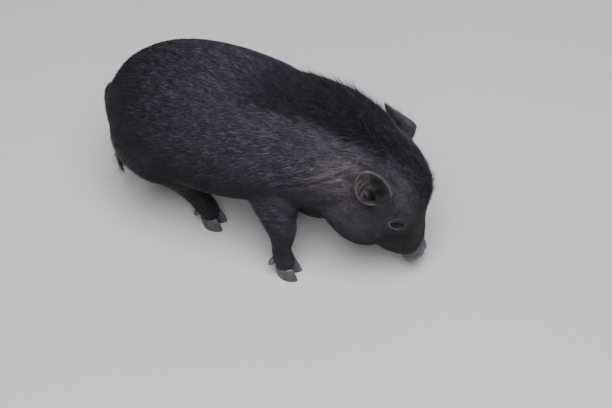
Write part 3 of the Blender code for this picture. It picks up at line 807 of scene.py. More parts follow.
def finer_face(obj):
    """Halves the faces of the muzzle and round the eyes, where the folds are small."""
    bm = bmesh.new()
    bm.from_mesh(obj.data)
    eyes = [eye_matrix(side).translation for side in SIDES.values()]
    inverse = HEAD.inverted()
    edges = {}
    for face in bm.faces:
        centre = face.calc_center_median()
        at = inverse @ centre
        near_eye = min((centre - eye).length for eye in eyes) < FINE_EYE
        if near_eye or (FINE_MUZZLE[0] < at.x and FINE_MUZZLE[1] < at.z):
            edges.update(dict.fromkeys(face.edges))
    edges = list(edges)
    bmesh.ops.subdivide_edges(bm, edges=edges, cuts=1, use_grid_fill=True)
    bmesh.ops.triangulate(bm, faces=[face for face in bm.faces if len(face.verts) > 4])
    bm.to_mesh(obj.data)
    bm.free()
    return obj


def open_lids(obj):
    """Swells the lids over each eye, hollows the socket and opens the almond of the eye."""
    bulges, hollows = [], []
    for side in SIDES.values():
        matrix = eye_matrix(side)
        lid = EYE_RADIUS + LID_THICK + 0.0002
        socket = EYE_RADIUS + 0.00012
        bulges.append(ellipsoid("lid", matrix, (0, 0, 0), (lid, lid, lid), detail=4))
        hollows.append(ellipsoid("socket", matrix, (0, 0, 0), (socket,) * 3, detail=4))
        half = Row(0.0, EYE_HEIGHT / 2, -EYE_HEIGHT / 2, EYE_LENGTH / 2)
        opening = [(lid_matrix(side) @ Matrix.Translation((x, 0, 0)), half) for x in (0.003, 0.016)]
        hollows.append(loft("opening", opening, levels=0, sides=36, power=1.62))
    boolean(obj, bulges, "UNION")
    boolean(obj, hollows, "DIFFERENCE")
    return soften(obj, rim_verts, rounds=3)


def rim_verts(bm):
    """Points near the edge of each eye's opening, on the outside of the lids."""
    found = []
    for side in SIDES.values():
        inverse = eye_matrix(side).inverted()
        for vert in bm.verts:
            at = inverse @ vert.co
            if at.length > EYE_RADIUS + 0.0006 and 0.0 < at.x < 0.014 and math.hypot(at.y, at.z) < 0.0105:
                found.append(vert)
    return found


def soften(obj, choose, rounds):
    bm = bmesh.new()
    bm.from_mesh(obj.data)
    chosen = choose(bm)
    for _ in range(rounds):
        bmesh.ops.smooth_vert(bm, verts=chosen, factor=0.5, use_axis_x=True, use_axis_y=True, use_axis_z=True)
    bm.to_mesh(obj.data)
    bm.free()
    return obj


def ear_sheet(ear, along, across):
    """A point of the ear's sheet: along runs from root to tip, across from -1 to 1."""
    outline = math.sin(math.pi * (0.22 + 0.73 * along)) ** 0.62
    outline *= math.sqrt(max(1 - (max(along - 0.80, 0) / 0.215) ** 2, 0.04))
    curl = EAR_FOLD * (1 - along) ** 0.8 + EAR_TIP_FOLD
    half = EAR_WIDTH / 2 * outline
    turn = curl * across
    reach = half * math.sin(turn) / max(math.sin(min(curl, math.pi / 2)), 0.3)
    depth = half * 0.62 * (1 - math.cos(turn))
    lower = across * -ear.side
    if lower > 0.05:
        spread = math.sin(math.pi * min((lower - 0.05) / 0.9, 1))
        reach_along = math.exp(-(((along - 0.45) / 0.24) ** 2))
        ridge = EAR_RIDGE * math.sin(math.tau * (along * 4.4 + lower * 0.3)) * spread * reach_along
        reach -= ridge * math.sin(turn)
        depth += ridge * math.cos(turn)
    return Vector((EAR_LENGTH * along, reach, depth))


def ear_shell(ear, rows=30, columns=36):
    """One thin cupped ear with a rounded rim."""
    bm = bmesh.new()
    bmesh.ops.create_grid(bm, x_segments=rows, y_segments=columns, size=1.0)
    matrix = ear_matrix(ear)
    for vert in bm.verts:
        along = -0.06 + 1.06 * (vert.co.x + 1) / 2
        vert.co = matrix @ ear_sheet(ear, along, vert.co.y)
    obj = link_bmesh("ear", bm)
    shell = obj.modifiers.new("Thickness", "SOLIDIFY")
    shell.thickness = EAR_THICK
    shell.offset = 0.0
    applied(obj)
    return boolean(subdivided(obj, 1), [ear_rim(ear, matrix)], "UNION")


def ear_rim(ear, matrix, steps=16):
    """The thick rolled rim along the ear's upper edge, thinner towards both ends."""
    path, halves = [], []
    for step in range(steps + 1):
        path.append(matrix @ ear_sheet(ear, 0.04 + 0.92 * step / steps, 0.985 * ear.side))
        halves.append((EAR_RIM * (0.45 + 0.55 * math.sin(math.pi * step / steps) ** 0.5),) * 2)
    return tube("rim", path, halves, up=(0.3, 1, 0.2), sides=10, levels=1)


def ear_lumps(kind, at, radii):
    """One ellipsoid in the frame of each ear, mirrored with the ear."""
    x, y, z = at
    return [ellipsoid(kind, ear_matrix(ear), (x, -ear.side * y, z), radii) for ear in EARS.values()]


def join_parts(obj):
    """Joins the ears and the tail to the hide, marks their faces and softens the seams."""
    boolean(obj, ear_lumps("lobe", EAR_LOBE_AT, EAR_LOBE), "UNION")
    boolean(obj, ear_lumps("passage", EAR_PASSAGE_AT, EAR_PASSAGE), "DIFFERENCE")
    core_tree = tree_of(obj)
    parts = [ear_shell(ear) for ear in EARS.values()] + [tail_core()]
    marks = (EAR_PART, EAR_PART, TAIL_PART)
    trees = [tree_of(part) for part in parts]
    boxes = [box_of(part, margin=2.0 * MM) for part in parts]
    boolean(obj, parts, "UNION")
    mesh = obj.data
    values = np.zeros(len(mesh.polygons))
    for index, face in enumerate(mesh.polygons):
        for mark, tree, box in zip(marks, trees, boxes):
            if inside_box(face.center, box) and tree.find_nearest(face.center, 0.2 * MM)[0] is not None:
                values[index] = mark
    store(mesh, "part", values, "FACE")

    def seam(bm):
        near = 1.6 * MM
        chosen = []
        for vert in bm.verts:
            for tree, box in zip(trees, boxes):
                if inside_box(vert.co, box) and tree.find_nearest(vert.co, near)[0] is not None:
                    if core_tree.find_nearest(vert.co, near)[0] is not None:
                        chosen.append(vert)
        return chosen

    return soften(obj, seam, rounds=8)


def box_of(obj, margin):
    points = positions(obj.data)
    return points.min(0) - margin, points.max(0) + margin


def inside_box(point, box):
    low, high = box
    return all(low[axis] < point[axis] < high[axis] for axis in range(3))


def unwrapped(obj):
    """Gives the hide an unwrap of its own shape, from which the coat takes its places."""
    bpy.context.view_layer.objects.active = obj
    obj.select_set(True)
    bpy.ops.object.mode_set(mode="EDIT")
    bpy.ops.mesh.select_all(action="SELECT")
    bpy.ops.uv.smart_project(angle_limit=math.radians(66), island_margin=0.002)
    bpy.ops.object.mode_set(mode="OBJECT")
    obj.select_set(False)
    obj.data.uv_layers.active.name = "Hide"
    return obj


def warmth(points):
    """Where hair thins and browner skin shows: the neck behind the ear, the cheek and the brow."""
    x, y, z = local(HEAD, points).T
    share = np.zeros(len(points))
    for strength, along, length, height, depth, low, high in WARM_PLACES:
        share += strength * (bell((x - along) / length, (z - height) / depth) * ramp(low, high, np.abs(y)))
    return np.clip(share, 0, 1)


def pale_rim_and_highlight_share(points):
    """1 on the pale lower rims of the lids, and where highlight is painted on the folds over the eyes and
    along the rims of the ears, 0 elsewhere.
    """
    share = np.zeros(len(points))
    for side in SIDES.values():
        x, y, z = local(lid_matrix(side), points).T
        edge = np.hypot(y / (EYE_LENGTH / 2 + 0.5 * MM), z / (EYE_HEIGHT / 2 + 0.5 * MM))
        low = ramp(-0.0030, 0.0045, 0.6 * side * y - z) * (x > 0.002)
        share = np.maximum(share, bell((edge - 1.10) / 0.20) * low)
        for radius, strength in FOLD_HIGHLIGHTS:
            fold = strength * bell((np.hypot(y, z) - radius) / (0.9 * MM))
            share = np.maximum(share, fold * ramp(0.001, 0.006, z) * (x > -0.002))
    # highlight painted along both rims of each ear
    for ear in EARS.values():
        at = local(ear_matrix(ear), points)
        near = np.linalg.norm(at, axis=1) < EAR_REACH
        for across, width, strength in ((ear.side, 4.6 * MM, 0.80), (-ear.side, 2.4 * MM, 0.45)):
            rim = [ear_sheet(ear, along, across) for along in np.linspace(0, 1, 12)]
            gap, _ = distance_to_path(at[near], rim)
            share[near] = np.maximum(share[near], strength * ramp(width, 0.35 * width, gap))
    return share


def ear_hollow_share(points):
    """1 where shade is painted in the passage and the hollow middle of each ear, 0 outside them."""
    share = np.zeros(len(points))
    for ear in EARS.values():
        at = local(ear_matrix(ear), points)
        gap = np.linalg.norm((at - np.array(EAR_PASSAGE_AT)) / np.array(EAR_PASSAGE), axis=1)
        share = np.maximum(share, ramp(1.35, 1.0, gap))
        x, y, z = at.T
        along, across = (x - EAR_SHADE_MIDDLE[0]) / EAR_SHADE_HALVES[0], (-ear.side * y - EAR_SHADE_MIDDLE[1]) / EAR_SHADE_HALVES[1]
        deep = 0.97 * np.exp(-(along**4 + across**4)) * ramp(-0.5 * MM, 1.2 * MM, z)
        share = np.maximum(share, deep * (np.abs(y) < 0.02))
    return share


def store(mesh, name, values, domain="POINT"):
    layer = mesh.attributes.new(name, "FLOAT", domain)
    layer.data.foreach_set("value", np.asarray(values, np.float32))


def add_node(tree, kind, inputs=(), **settings):
    """A new shader node with its settings, linked or set inputs given by name or number."""
    node = tree.nodes.new(kind)
    for key, value in settings.items():
        setattr(node, key, value)
    for key, value in dict(inputs).items():
        if isinstance(value, bpy.types.NodeSocket):
            tree.links.new(value, node.inputs[key])
        else:
            node.inputs[key].default_value = value
    return node


def attribute(tree, name):
    return add_node(tree, "ShaderNodeAttribute", attribute_name=name).outputs["Fac"]


def colour(values, factor=1.0):
    return (*(value * factor for value in values), 1.0)


def principled(name, roughness, **sockets):
    made = bpy.data.materials.new(name)
    made.use_nodes = True
    shader = made.node_tree.nodes["Principled BSDF"]
    shader.inputs["Roughness"].default_value = roughness
    for key, value in sockets.items():
        shader.inputs[key.replace("_", " ").title().replace("Ior", "IOR")].default_value = value
    return made, made.node_tree, shader


def mix(tree, factor, first, second):
    """A mixed colour. In this node the colours are inputs 6 and 7, and the result is output 2."""
    return add_node(tree, "ShaderNodeMix", {0: factor, 6: first, 7: second}, data_type="RGBA").outputs[2]


def noise(tree, scale, detail=3.0, stretch=(1, 1, 1)):
    place = add_node(tree, "ShaderNodeTexCoord")
    moved = add_node(tree, "ShaderNodeMapping", {"Vector": place.outputs["Object"], "Scale": stretch})
    inputs = {"Vector": moved.outputs[0], "Scale": scale, "Detail": detail}
    return add_node(tree, "ShaderNodeTexNoise", inputs).outputs["Fac"]


def product(tree, first, second):
    return add_node(tree, "ShaderNodeMath", {0: first, 1: second}, operation="MULTIPLY").outputs[0]


def stepped(tree, value, low, high):
    """The value stretched from between low and high to between 0 and 1."""
    node = add_node(tree, "ShaderNodeMapRange", {"Value": value, "From Min": low, "From Max": high})
    return node.outputs[0]


def bump(tree, shader, height, strength, distance, under=None):
    """Links a bump to the shader, over the one under it, and gives what the next needs to lie over it."""
    inputs = {"Height": height, "Strength": strength, "Distance": distance, **(under or {})}
    node = add_node(tree, "ShaderNodeBump", inputs)
    tree.links.new(node.outputs[0], shader.inputs["Normal"])
    return {"Normal": node.outputs[0]}


def hide_material(settings):
    made, tree, shader = principled("hide", 0.55, specular_ior_level=0.14)
    warm = attribute(tree, "warm")
    patch = stepped(tree, noise(tree, 95.0, 4.0), 0.32, 0.68)
    base = mix(tree, product(tree, warm, patch), colour(settings.skin), colour(settings.pink))
    mottle = stepped(tree, noise(tree, 420.0, 3.0), 0.35, 0.7)
    base = mix(tree, mottle, base, colour(settings.skin, 1.7))
    for name, over in (
        # painted shade on the muzzle's skin
        ("muzzle", colour(settings.skin, 0.45)),
        # pale lower lid rims, and painted highlight on the folds over the eyes and along the ears' rims
        ("pale", colour(settings.pale)),
        ("collar", colour(settings.snout, 0.9)),
        # painted shade in the ears' passages and hollows
        ("hollow", colour(PAINTED_EAR_SHADE_COLOUR)),
    ):
        base = mix(tree, attribute(tree, name), base, over)
    tree.links.new(base, shader.inputs["Base Color"])
    upright = attribute(tree, "upright")
    back = noise(tree, 1500.0, 3.0, (0.10, 1.0, 1.0))
    down = noise(tree, 1500.0, 3.0, (1.0, 1.0, 0.10))
    fine = bump(tree, shader, mix(tree, upright, back, down), 0.7, 0.35 * MM)
    bump(tree, shader, noise(tree, 380.0, 5.0), 0.35, 0.4 * MM, under=fine)
    return made


def coat_material(settings):
    made, tree, shader = principled("coat", 0.42, specular_ior_level=0.24)
    shade = attribute(tree, "shade")
    warm = attribute(tree, "warm")
    patch = stepped(tree, noise(tree, 60.0, 3.0), 0.35, 0.65)
    grey = mix(tree, shade, colour(settings.black), colour(settings.sheen))
    brown = mix(tree, shade, colour(settings.brown, 0.35), colour(settings.brown))
    tree.links.new(mix(tree, product(tree, warm, patch), grey, brown), shader.inputs["Base Color"])
    return made


def finished(obj, made, slot, *nodes):
    """Gives a piece its material and its body, and hides the solids that it stands for. The slot is not used.
    """
    obj.data.materials.clear()
    obj.data.materials.append(made)
    obj.data.polygons.foreach_set("use_smooth", np.ones(len(obj.data.polygons), bool))
    obj.data.update()
    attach(obj, "root")
    if nodes:
        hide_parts(*nodes)
    return obj


class PIG_OT_hide(bpy.types.Operator):
    """Makes the one skin of the trunk, neck, head, ears, legs and tail"""

    bl_idname = "pig.hide"
    bl_label = "Hide"

    def execute(self, context):
        settings = context.scene.pig_hide
        pieces = [trunk(), neck_core(), head_core(), *face_lumps()]
        pieces.append(ellipsoid("breast", BODY, *BREAST))
        for leg in LEGS:
            pieces += fore_limb(leg) if leg.kind == "fore" else hind_limb(leg)
        rounds = round(SOLID_ROUNDS * (SOLID_VOXEL / settings.voxel) ** 2)
        obj = fused(pieces, "hide", settings.voxel, rounds)
        points = positions(obj.data)
        points -= point_normals(obj.data) * depth_under_coat(points, settings.coat_depth)[:, None]
        set_positions(obj.data, slim_muzzle(points))
        finer_face(obj)
        tree = tree_of(obj)
        points = positions(obj.data)
        move = face_folds(tree, points) + body_folds(tree, points)
        set_positions(obj.data, points + point_normals(obj.data) * move[:, None])
        open_lids(obj)
        join_parts(obj)
        unwrapped(obj)
        points = positions(obj.data)
        store(obj.data, "warm", warmth(points))
        # painted shade in the ears' passages and hollows
        store(obj.data, "hollow", ear_hollow_share(points))
        # pale lower lid rims, and painted highlight on the eye folds and ear rims
        store(obj.data, "pale", pale_rim_and_highlight_share(points))
        # painted shade on the muzzle's skin
        store(obj.data, "muzzle", muzzle_shade_share(points))
        store(obj.data, "collar", collar_share(points))
        store(obj.data, "upright", np.maximum(leg_share(points), head_share(points)))
        flesh = ("torso", "neck", "head", "tail", "ear_left", "ear_right", *(leg.name for leg in LEGS))
        finished(obj, hide_material(settings), "coat", *flesh)
        return {"FINISHED"}


def snout_mesh():
    """The bare disc of the snout, with a raised rim, two nostrils and a notch above."""
    half_w, half_h = SNOUT_WIDTH / 2, SNOUT_HEIGHT / 2
    sections = []
    for along, scale in (*SNOUT_SIDE, *((SNOUT_THICK, scale) for scale in SNOUT_FACE)):
        sections.append((Matrix.Identity(4), Row(along, half_h * scale, -half_h * scale, half_w * scale)))
    obj = loft("snout_disc", sections, levels=1, sides=40, power=2.2)
    points = positions(obj.data)
    x, y, z = points.T
    facing = ramp(0.0036, 0.0052, x)
    rim = np.sqrt((y / half_w) ** 2 + (z / half_h) ** 2)
    push = 0.7 * MM * bell((rim - 0.84) / 0.11) * facing
    push -= 0.6 * MM * bell(rim / 0.5) * facing
    push += 0.12 * MM * np.sin(y * 5200) * np.sin(z * 4700) * facing
    for side in SIDES.values():
        out, up = y - side * NOSTRIL_AT[0], z - NOSTRIL_AT[1]
        across = out * math.cos(NOSTRIL_TURN) + side * up * math.sin(NOSTRIL_TURN)
        height = -side * out * math.sin(NOSTRIL_TURN) + up * math.cos(NOSTRIL_TURN)
        gap = (across / NOSTRIL_SIZE[0]) ** 2 + (height / NOSTRIL_SIZE[1]) ** 2
        push -= NOSTRIL_DEPTH * np.exp(-(gap**2.2)) * facing
        push += 0.6 * MM * bell((np.sqrt(gap) - 1.45) / 0.32) * facing
    notch = bell(y / 0.0016) * ramp(0.75, 1.0, z / half_h)
    points[:, 0] = x + push - 0.0016 * notch
    points[:, 2] = z - 0.0012 * notch
    set_positions(obj.data, points)
    obj.data.transform(SNOUT)
    return obj


def snout_material(settings):
    made, tree, shader = principled("snout", 0.34)
    patch = stepped(tree, noise(tree, 190.0, 4.0), 0.35, 0.68)
    base = mix(tree, patch, colour(settings.snout, 0.42), colour(settings.snout, 1.35))
    place = add_node(tree, "ShaderNodeTexCoord")
    cells = add_node(tree, "ShaderNodeTexVoronoi", {"Vector": place.outputs["Object"], "Scale": 620.0})
    pits = stepped(tree, cells.outputs["Distance"], 0.05, 0.55)
    base = mix(tree, pits, colour(settings.snout, 0.55), base)
    tree.links.new(base, shader.inputs["Base Color"])
    fine = bump(tree, shader, pits, 0.55, 0.35 * MM)
    bump(tree, shader, noise(tree, 900.0, 3.0), 0.3, 0.2 * MM, under=fine)
    return made


class PIG_OT_snout(bpy.types.Operator):
    """Makes the bare disc of the snout with its nostrils"""

    bl_idname = "pig.snout"
    bl_label = "Snout"

    def execute(self, context):
        finished(snout_mesh(), snout_material(context.scene.pig_hide), "snout", "snout")
        return {"FINISHED"}


def eye_material():
    made, tree, shader = principled("eye", 0.05, ior=1.33, specular_ior_level=0.14)
    rings = add_node(tree, "ShaderNodeValToRGB", {"Fac": attribute(tree, "gaze")})
    stops = rings.color_ramp.elements
    for stop, (place, shown) in zip(stops, (IRIS_RINGS[0], IRIS_RINGS[-1])):
        stop.position, stop.color = place, colour(shown)
    for place, shown in IRIS_RINGS[1:-1]:
        stops.new(place).color = colour(shown)
    streaks = stepped(tree, noise(tree, 1800.0, 3.0), 0.3, 0.7)
    base = mix(tree, streaks, rings.outputs[0], colour(EYE_STREAKS))
    tree.links.new(mix(tree, 0.30, rings.outputs[0], base), shader.inputs["Base Color"])
    return made


class PIG_OT_eyes(bpy.types.Operator):
    """Makes both dark, wet eyes"""

    bl_idname = "pig.eyes"
    bl_label = "Eyes"

    def execute(self, context):
        made = eye_material()
        for name, side in SIDES.items():
            obj = ellipsoid(f"eyeball_{name}", Matrix.Identity(4), (0, 0, 0), (EYE_RADIUS,) * 3, detail=5)
            points = positions(obj.data)
            gaze = np.arccos(np.clip(points[:, 0] / EYE_RADIUS, -1, 1))
            store(obj.data, "gaze", gaze)
            points[:, 0] += 0.00035 * ramp(0.75, 0.25, gaze)
            set_positions(obj.data, points)
            obj.data.transform(eye_matrix(side))
            finished(obj, made, "eye", f"eye_{name}")
        return {"FINISHED"}


def claw_mesh(name, leg, toe):
    """One main claw with its growth lines: a flat sole, a sloping front wall and a soft top band."""
    base = BODY @ Matrix.Translation((leg.foot, leg.side * leg.spread + toe * (CLEFT + CLAW_WIDTH) / 2, 0))
    matrix = base @ Matrix.Rotation(toe * CLAW_SPLAY, 4, "Z")
    bm = bmesh.new()
    rings = []
    sides = 36
    for height in (0.0, 0.02, 0.06, *np.linspace(0.10, 0.94, 19), 1.0):
        scale = np.interp(height, (0.0, 0.04, 0.10, 0.5, 1.0), (0.93, 0.975, 1.0, 0.97, 0.88))
        shift = np.interp(height, (0.0, 0.10, 0.5, 1.0), (0.002, 0.002, 0.0002, -0.0022))
        scale *= 1 - 0.010 * math.sin(math.tau * height * 7.0) * (0.1 < height < 0.9)
        verts = []
        for turn in (math.tau * step / sides for step in range(sides)):
            toe_in = 1 - 0.38 * max(math.cos(turn), 0) ** 2
            x = CLAW_LENGTH / 2 * scale * math.cos(turn) + shift
            y = CLAW_WIDTH / 2 * scale * math.sin(turn) * toe_in
            top = CORONET_Z + CORONET_SLOPE * x + 0.0012
            verts.append(bm.verts.new(matrix @ Vector((x, y, top * height))))
        rings.append(closed_ring(bm, verts))
    return capped(name, bm, rings)


def horn_material(settings):
    made, tree, shader = principled("horn", 0.42, specular_ior_level=0.28)
    streaks = stepped(tree, noise(tree, 260.0, 4.0, (1.0, 1.0, 0.18)), 0.34, 0.70)
    base = mix(tree, streaks, colour(settings.horn, 0.35), colour(settings.horn, 1.5))
    lines = stepped(tree, noise(tree, 240.0, 2.0, (0.12, 0.12, 3.0)), 0.38, 0.66)
    base = mix(tree, lines, base, colour(settings.horn, 0.8))
    tree.links.new(base, shader.inputs["Base Color"])
    fine = bump(tree, shader, noise(tree, 520.0, 4.0, (1.0, 1.0, 0.15)), 0.35, 0.3 * MM)
    bump(tree, shader, lines, 0.35, 0.3 * MM, under=fine)
    return made


class PIG_OT_claws(bpy.types.Operator):
    """Makes the two main claws and two dewclaws of each foot"""

    bl_idname = "pig.claws"
    bl_label = "Claws"

    def execute(self, context):
        made = horn_material(context.scene.pig_hide)
        for leg in LEGS:
            for place, out in TOES.items():
                toe = out * leg.side
                name = f"{leg.name}_{place}"
                finished(claw_mesh(f"claw_{name}", leg, toe), made, "hoof", f"hoof_{name}")
                x, y, z = DEWCLAW_AT
                at = BODY @ Matrix.Translation((leg.foot + x, leg.side * leg.spread + toe * y, z))
                turn = Matrix.Rotation(DEWCLAW_LEAN, 4, "Y") @ Matrix.Rotation(toe * DEWCLAW_SPLAY, 4, "X")
                spur = ellipsoid(f"spur_{name}", at @ turn, (0, 0, 0), DEWCLAW, detail=4)
                finished(spur, made, "hoof", f"dewclaw_{name}")
        return {"FINISHED"}


class Skin:
    """The hide's triangles as arrays, from which roots of hair are drawn."""

    def __init__(self, obj):
        mesh = obj.data
        mesh.calc_loop_triangles()
        triangles = mesh.loop_triangles
        self.area = values_of(triangles, "area")
        self.corners = values_of(triangles, "vertices", 3, np.int32)
        self.points = positions(mesh)
        self.normals = point_normals(mesh)
        uv = values_of(mesh.uv_layers["Hide"].data, "uv", 2)
        self.uv = uv[values_of(triangles, "loops", 3, np.int32)]
        part = values_of(mesh.attributes["part"].data, "value")
        self.part = part[values_of(triangles, "polygon_index", kind=np.int32)]
        self.centres = self.points[self.corners].mean(1)
        self.facing = unit(self.normals[self.corners].sum(1))

    def draw(self, rng, weights, count):
        """Roots drawn over the skin by weight: their parts, points, normals and unwrap places."""
        chance = weights * self.area
        chosen = rng.choice(len(chance), size=count, p=chance / chance.sum())
        share = rng.random((count, 2))
        over = share.sum(1) > 1
        share[over] = 1 - share[over]
        share = np.column_stack([1 - share.sum(1), share])[:, :, None]
        points = (self.points[self.corners[chosen]] * share).sum(1)
        normals = unit((self.normals[self.corners[chosen]] * share).sum(1))
        return self.part[chosen], points, normals, (self.uv[chosen] * share).sum(1)


def spine_samples(count=81):
    """Points on a curve under the crest, from the withers to the forehead, and the ways out of the body."""
    a, b, c, d = np.array([matrix @ Vector(knot) for matrix, knot in SPINE])
    share = np.linspace(0, 1, count)[:, None]
    left = 1 - share
    at = left**3 * a + 3 * left**2 * share * b + 3 * left * share**2 * c + share**3 * d
    run = unit(left**2 * (b - a) + 2 * left * share * (c - b) + share**2 * (d - c))
    return at, np.column_stack([-run[:, 2], np.zeros(count), run[:, 0]])


def crest_share(points):
    """How far each point belongs to the crest, and where along the crest it lies."""
    at, out = spine_samples()
    nearest = ((points[:, None, :] - at[None, :, :]) ** 2).sum(2).argmin(1)
    along = nearest / (len(at) - 1)
    upward = (unit(points - at[nearest]) * out[nearest]).sum(1)
    share = ramp(0.76, 0.95, upward - 0.12 * ramp(0.5, 0.8, along))
    share *= ramp(-0.090, -0.010, local(BODY, points)[:, 0])
    return share * ramp(1.0, 0.94, along), along


def ear_nearness(points):
    """1 beside the root of an ear, 0 away from both."""
    gaps = [np.linalg.norm(points - np.array(ear_matrix(ear).translation), axis=1) for ear in EARS.values()]
    return ramp(0.040, 0.022, np.minimum(*gaps))


def eye_gap(points):
    """Distance from each point to the axis of the nearer eye, far away behind it."""
    best = np.full(len(points), 1.0)
    for side in SIDES.values():
        x, y, z = local(lid_matrix(side), points).T
        best = np.minimum(best, np.where(x > 0, np.hypot(y * 0.74, z), 1.0))
    return best


def lie_of_hair(points, normals, part):
    """The way the hair lies at each point, along the skin."""
    _, y, z = local(HEAD, points).T
    head = head_share(points)[:, None]
    leg = leg_share(points)[:, None]
    ones = np.ones(len(points))
    flank = 1 - np.clip(normals[:, 2], 0, 1)
    rump = ramp(RUMP_X + 0.075, RUMP_X + 0.010, local(BODY, points)[:, 0])
    fall = -0.12 - 0.42 * flank - 1.3 * rump * flank
    trunk_flow = unit(np.column_stack([-ones, 0 * ones, fall]))
    side = np.sign(y) * ramp(0.004, 0.020, np.abs(y))
    head_flow = unit(np.column_stack([-ones, 0.22 * side, -0.16 - 0.35 * ramp(0.0, 0.03, -z)]))
    head_flow = head_flow @ np.array(HEAD.to_3x3()).T
    leg_flow = unit(np.column_stack([-0.22 * ones, 0 * ones, -ones]))
    flow = trunk_flow * (1 - head) * (1 - leg) + head_flow * head + leg_flow * leg
    flow[part == TAIL_PART] = TAIL_FLOW
    for ear in EARS.values():
        mine = (part == EAR_PART) & (np.sign(y) == ear.side)
        flow[mine] = np.array(ear_matrix(ear).to_3x3() @ Vector((1, 0, 0)))
    wave = sum(height * np.sin(points @ np.array(run)) for height, run in WAVES)
    flow = unit(flow - normals * (flow * normals).sum(1)[:, None])
    return unit(flow + np.cross(normals, flow) * wave[:, None])


def coat_plan(points, normals, part, settings):
    """Density, length, width and rise of the hair at each point."""
    x, _, z = local(HEAD, points).T
    head = head_share(points)
    leg = leg_share(points)
    crest, along = crest_share(points)
    muzzle = ramp(0.036, 0.090, x) * head
    forehead = head * ramp(0.012, 0.03, z) * ramp(0.06, 0.02, x)
    low = ramp(0.075, 0.020, points[:, 2])
    belly = ramp(-0.2, -0.8, normals[:, 2]) * (1 - head)
    length = settings.length * (1 - 0.42 * head + 0.20 * forehead - 0.15 * belly)
    length = length * (1 - 0.42 * leg) * (1 - 0.30 * leg * low) * (1 - 0.60 * muzzle)
    length = length + (0.40 * (settings.crest_length - settings.length)) * crest * ramp(0.05, 0.50, along)
    width = settings.width * (1 - 0.34 * head) * (1 - 0.20 * leg) * (1 - 0.15 * muzzle)
    rise = 0.24 + 0.34 * crest * ramp(0.0, 0.45, along) + 0.05 * head - 0.05 * muzzle + 0.05 * leg
    density = settings.density * (1 + 0.75 * head + 0.9 * muzzle + 0.55 * leg + 0.25 * crest - 0.35 * belly)
    gap = eye_gap(points)
    density = density * ramp(4.9 * MM, 6.3 * MM, gap)
    length = length * (0.30 + 0.70 * ramp(7.0 * MM, 14 * MM, gap))
    density = density * (local(SNOUT, points)[:, 0] < -0.0008) * (1 - collar_share(points))
    on_tail = part == TAIL_PART
    length = np.where(on_tail, 7.0 * MM, length)
    rise = np.where(on_tail, 0.10, rise)
    density = np.where(on_tail, settings.density * 1.6, density)
    on_ear, inner = part == EAR_PART, ear_inside(points, normals)
    length = np.where(on_ear, 3.6 * MM * (1 - 0.25 * inner), length)
    width = np.where(on_ear, 0.24 * MM, width)
    rise = np.where(on_ear, 0.20, rise)
    density = np.where(on_ear, settings.density * 2.1 * (1 - 0.86 * inner), density)
    density = density * (1 - 0.9 * ear_hollow_share(points)) * (1 - 0.50 * pale_rim_and_highlight_share(points))
    density = density * (1 - 0.48 * warmth(points))
    return density, length, width, rise


def ear_inside(points, normals):
    """1 on the inner face of an ear, 0 on its back."""
    share = np.zeros(len(points))
    for matrix in map(ear_matrix, EARS.values()):
        y = local(matrix, points)[:, 1]
        facing = normals @ np.array(matrix.to_3x3())
        inward = -facing[:, 1] * np.sign(y) * ramp(0.0, 0.008, np.abs(y)) + facing[:, 2]
        near = np.linalg.norm(points - np.array(matrix.translation), axis=1) < 0.055
        share = np.where(near, ramp(-0.05, 0.25, inward), share)
    return share


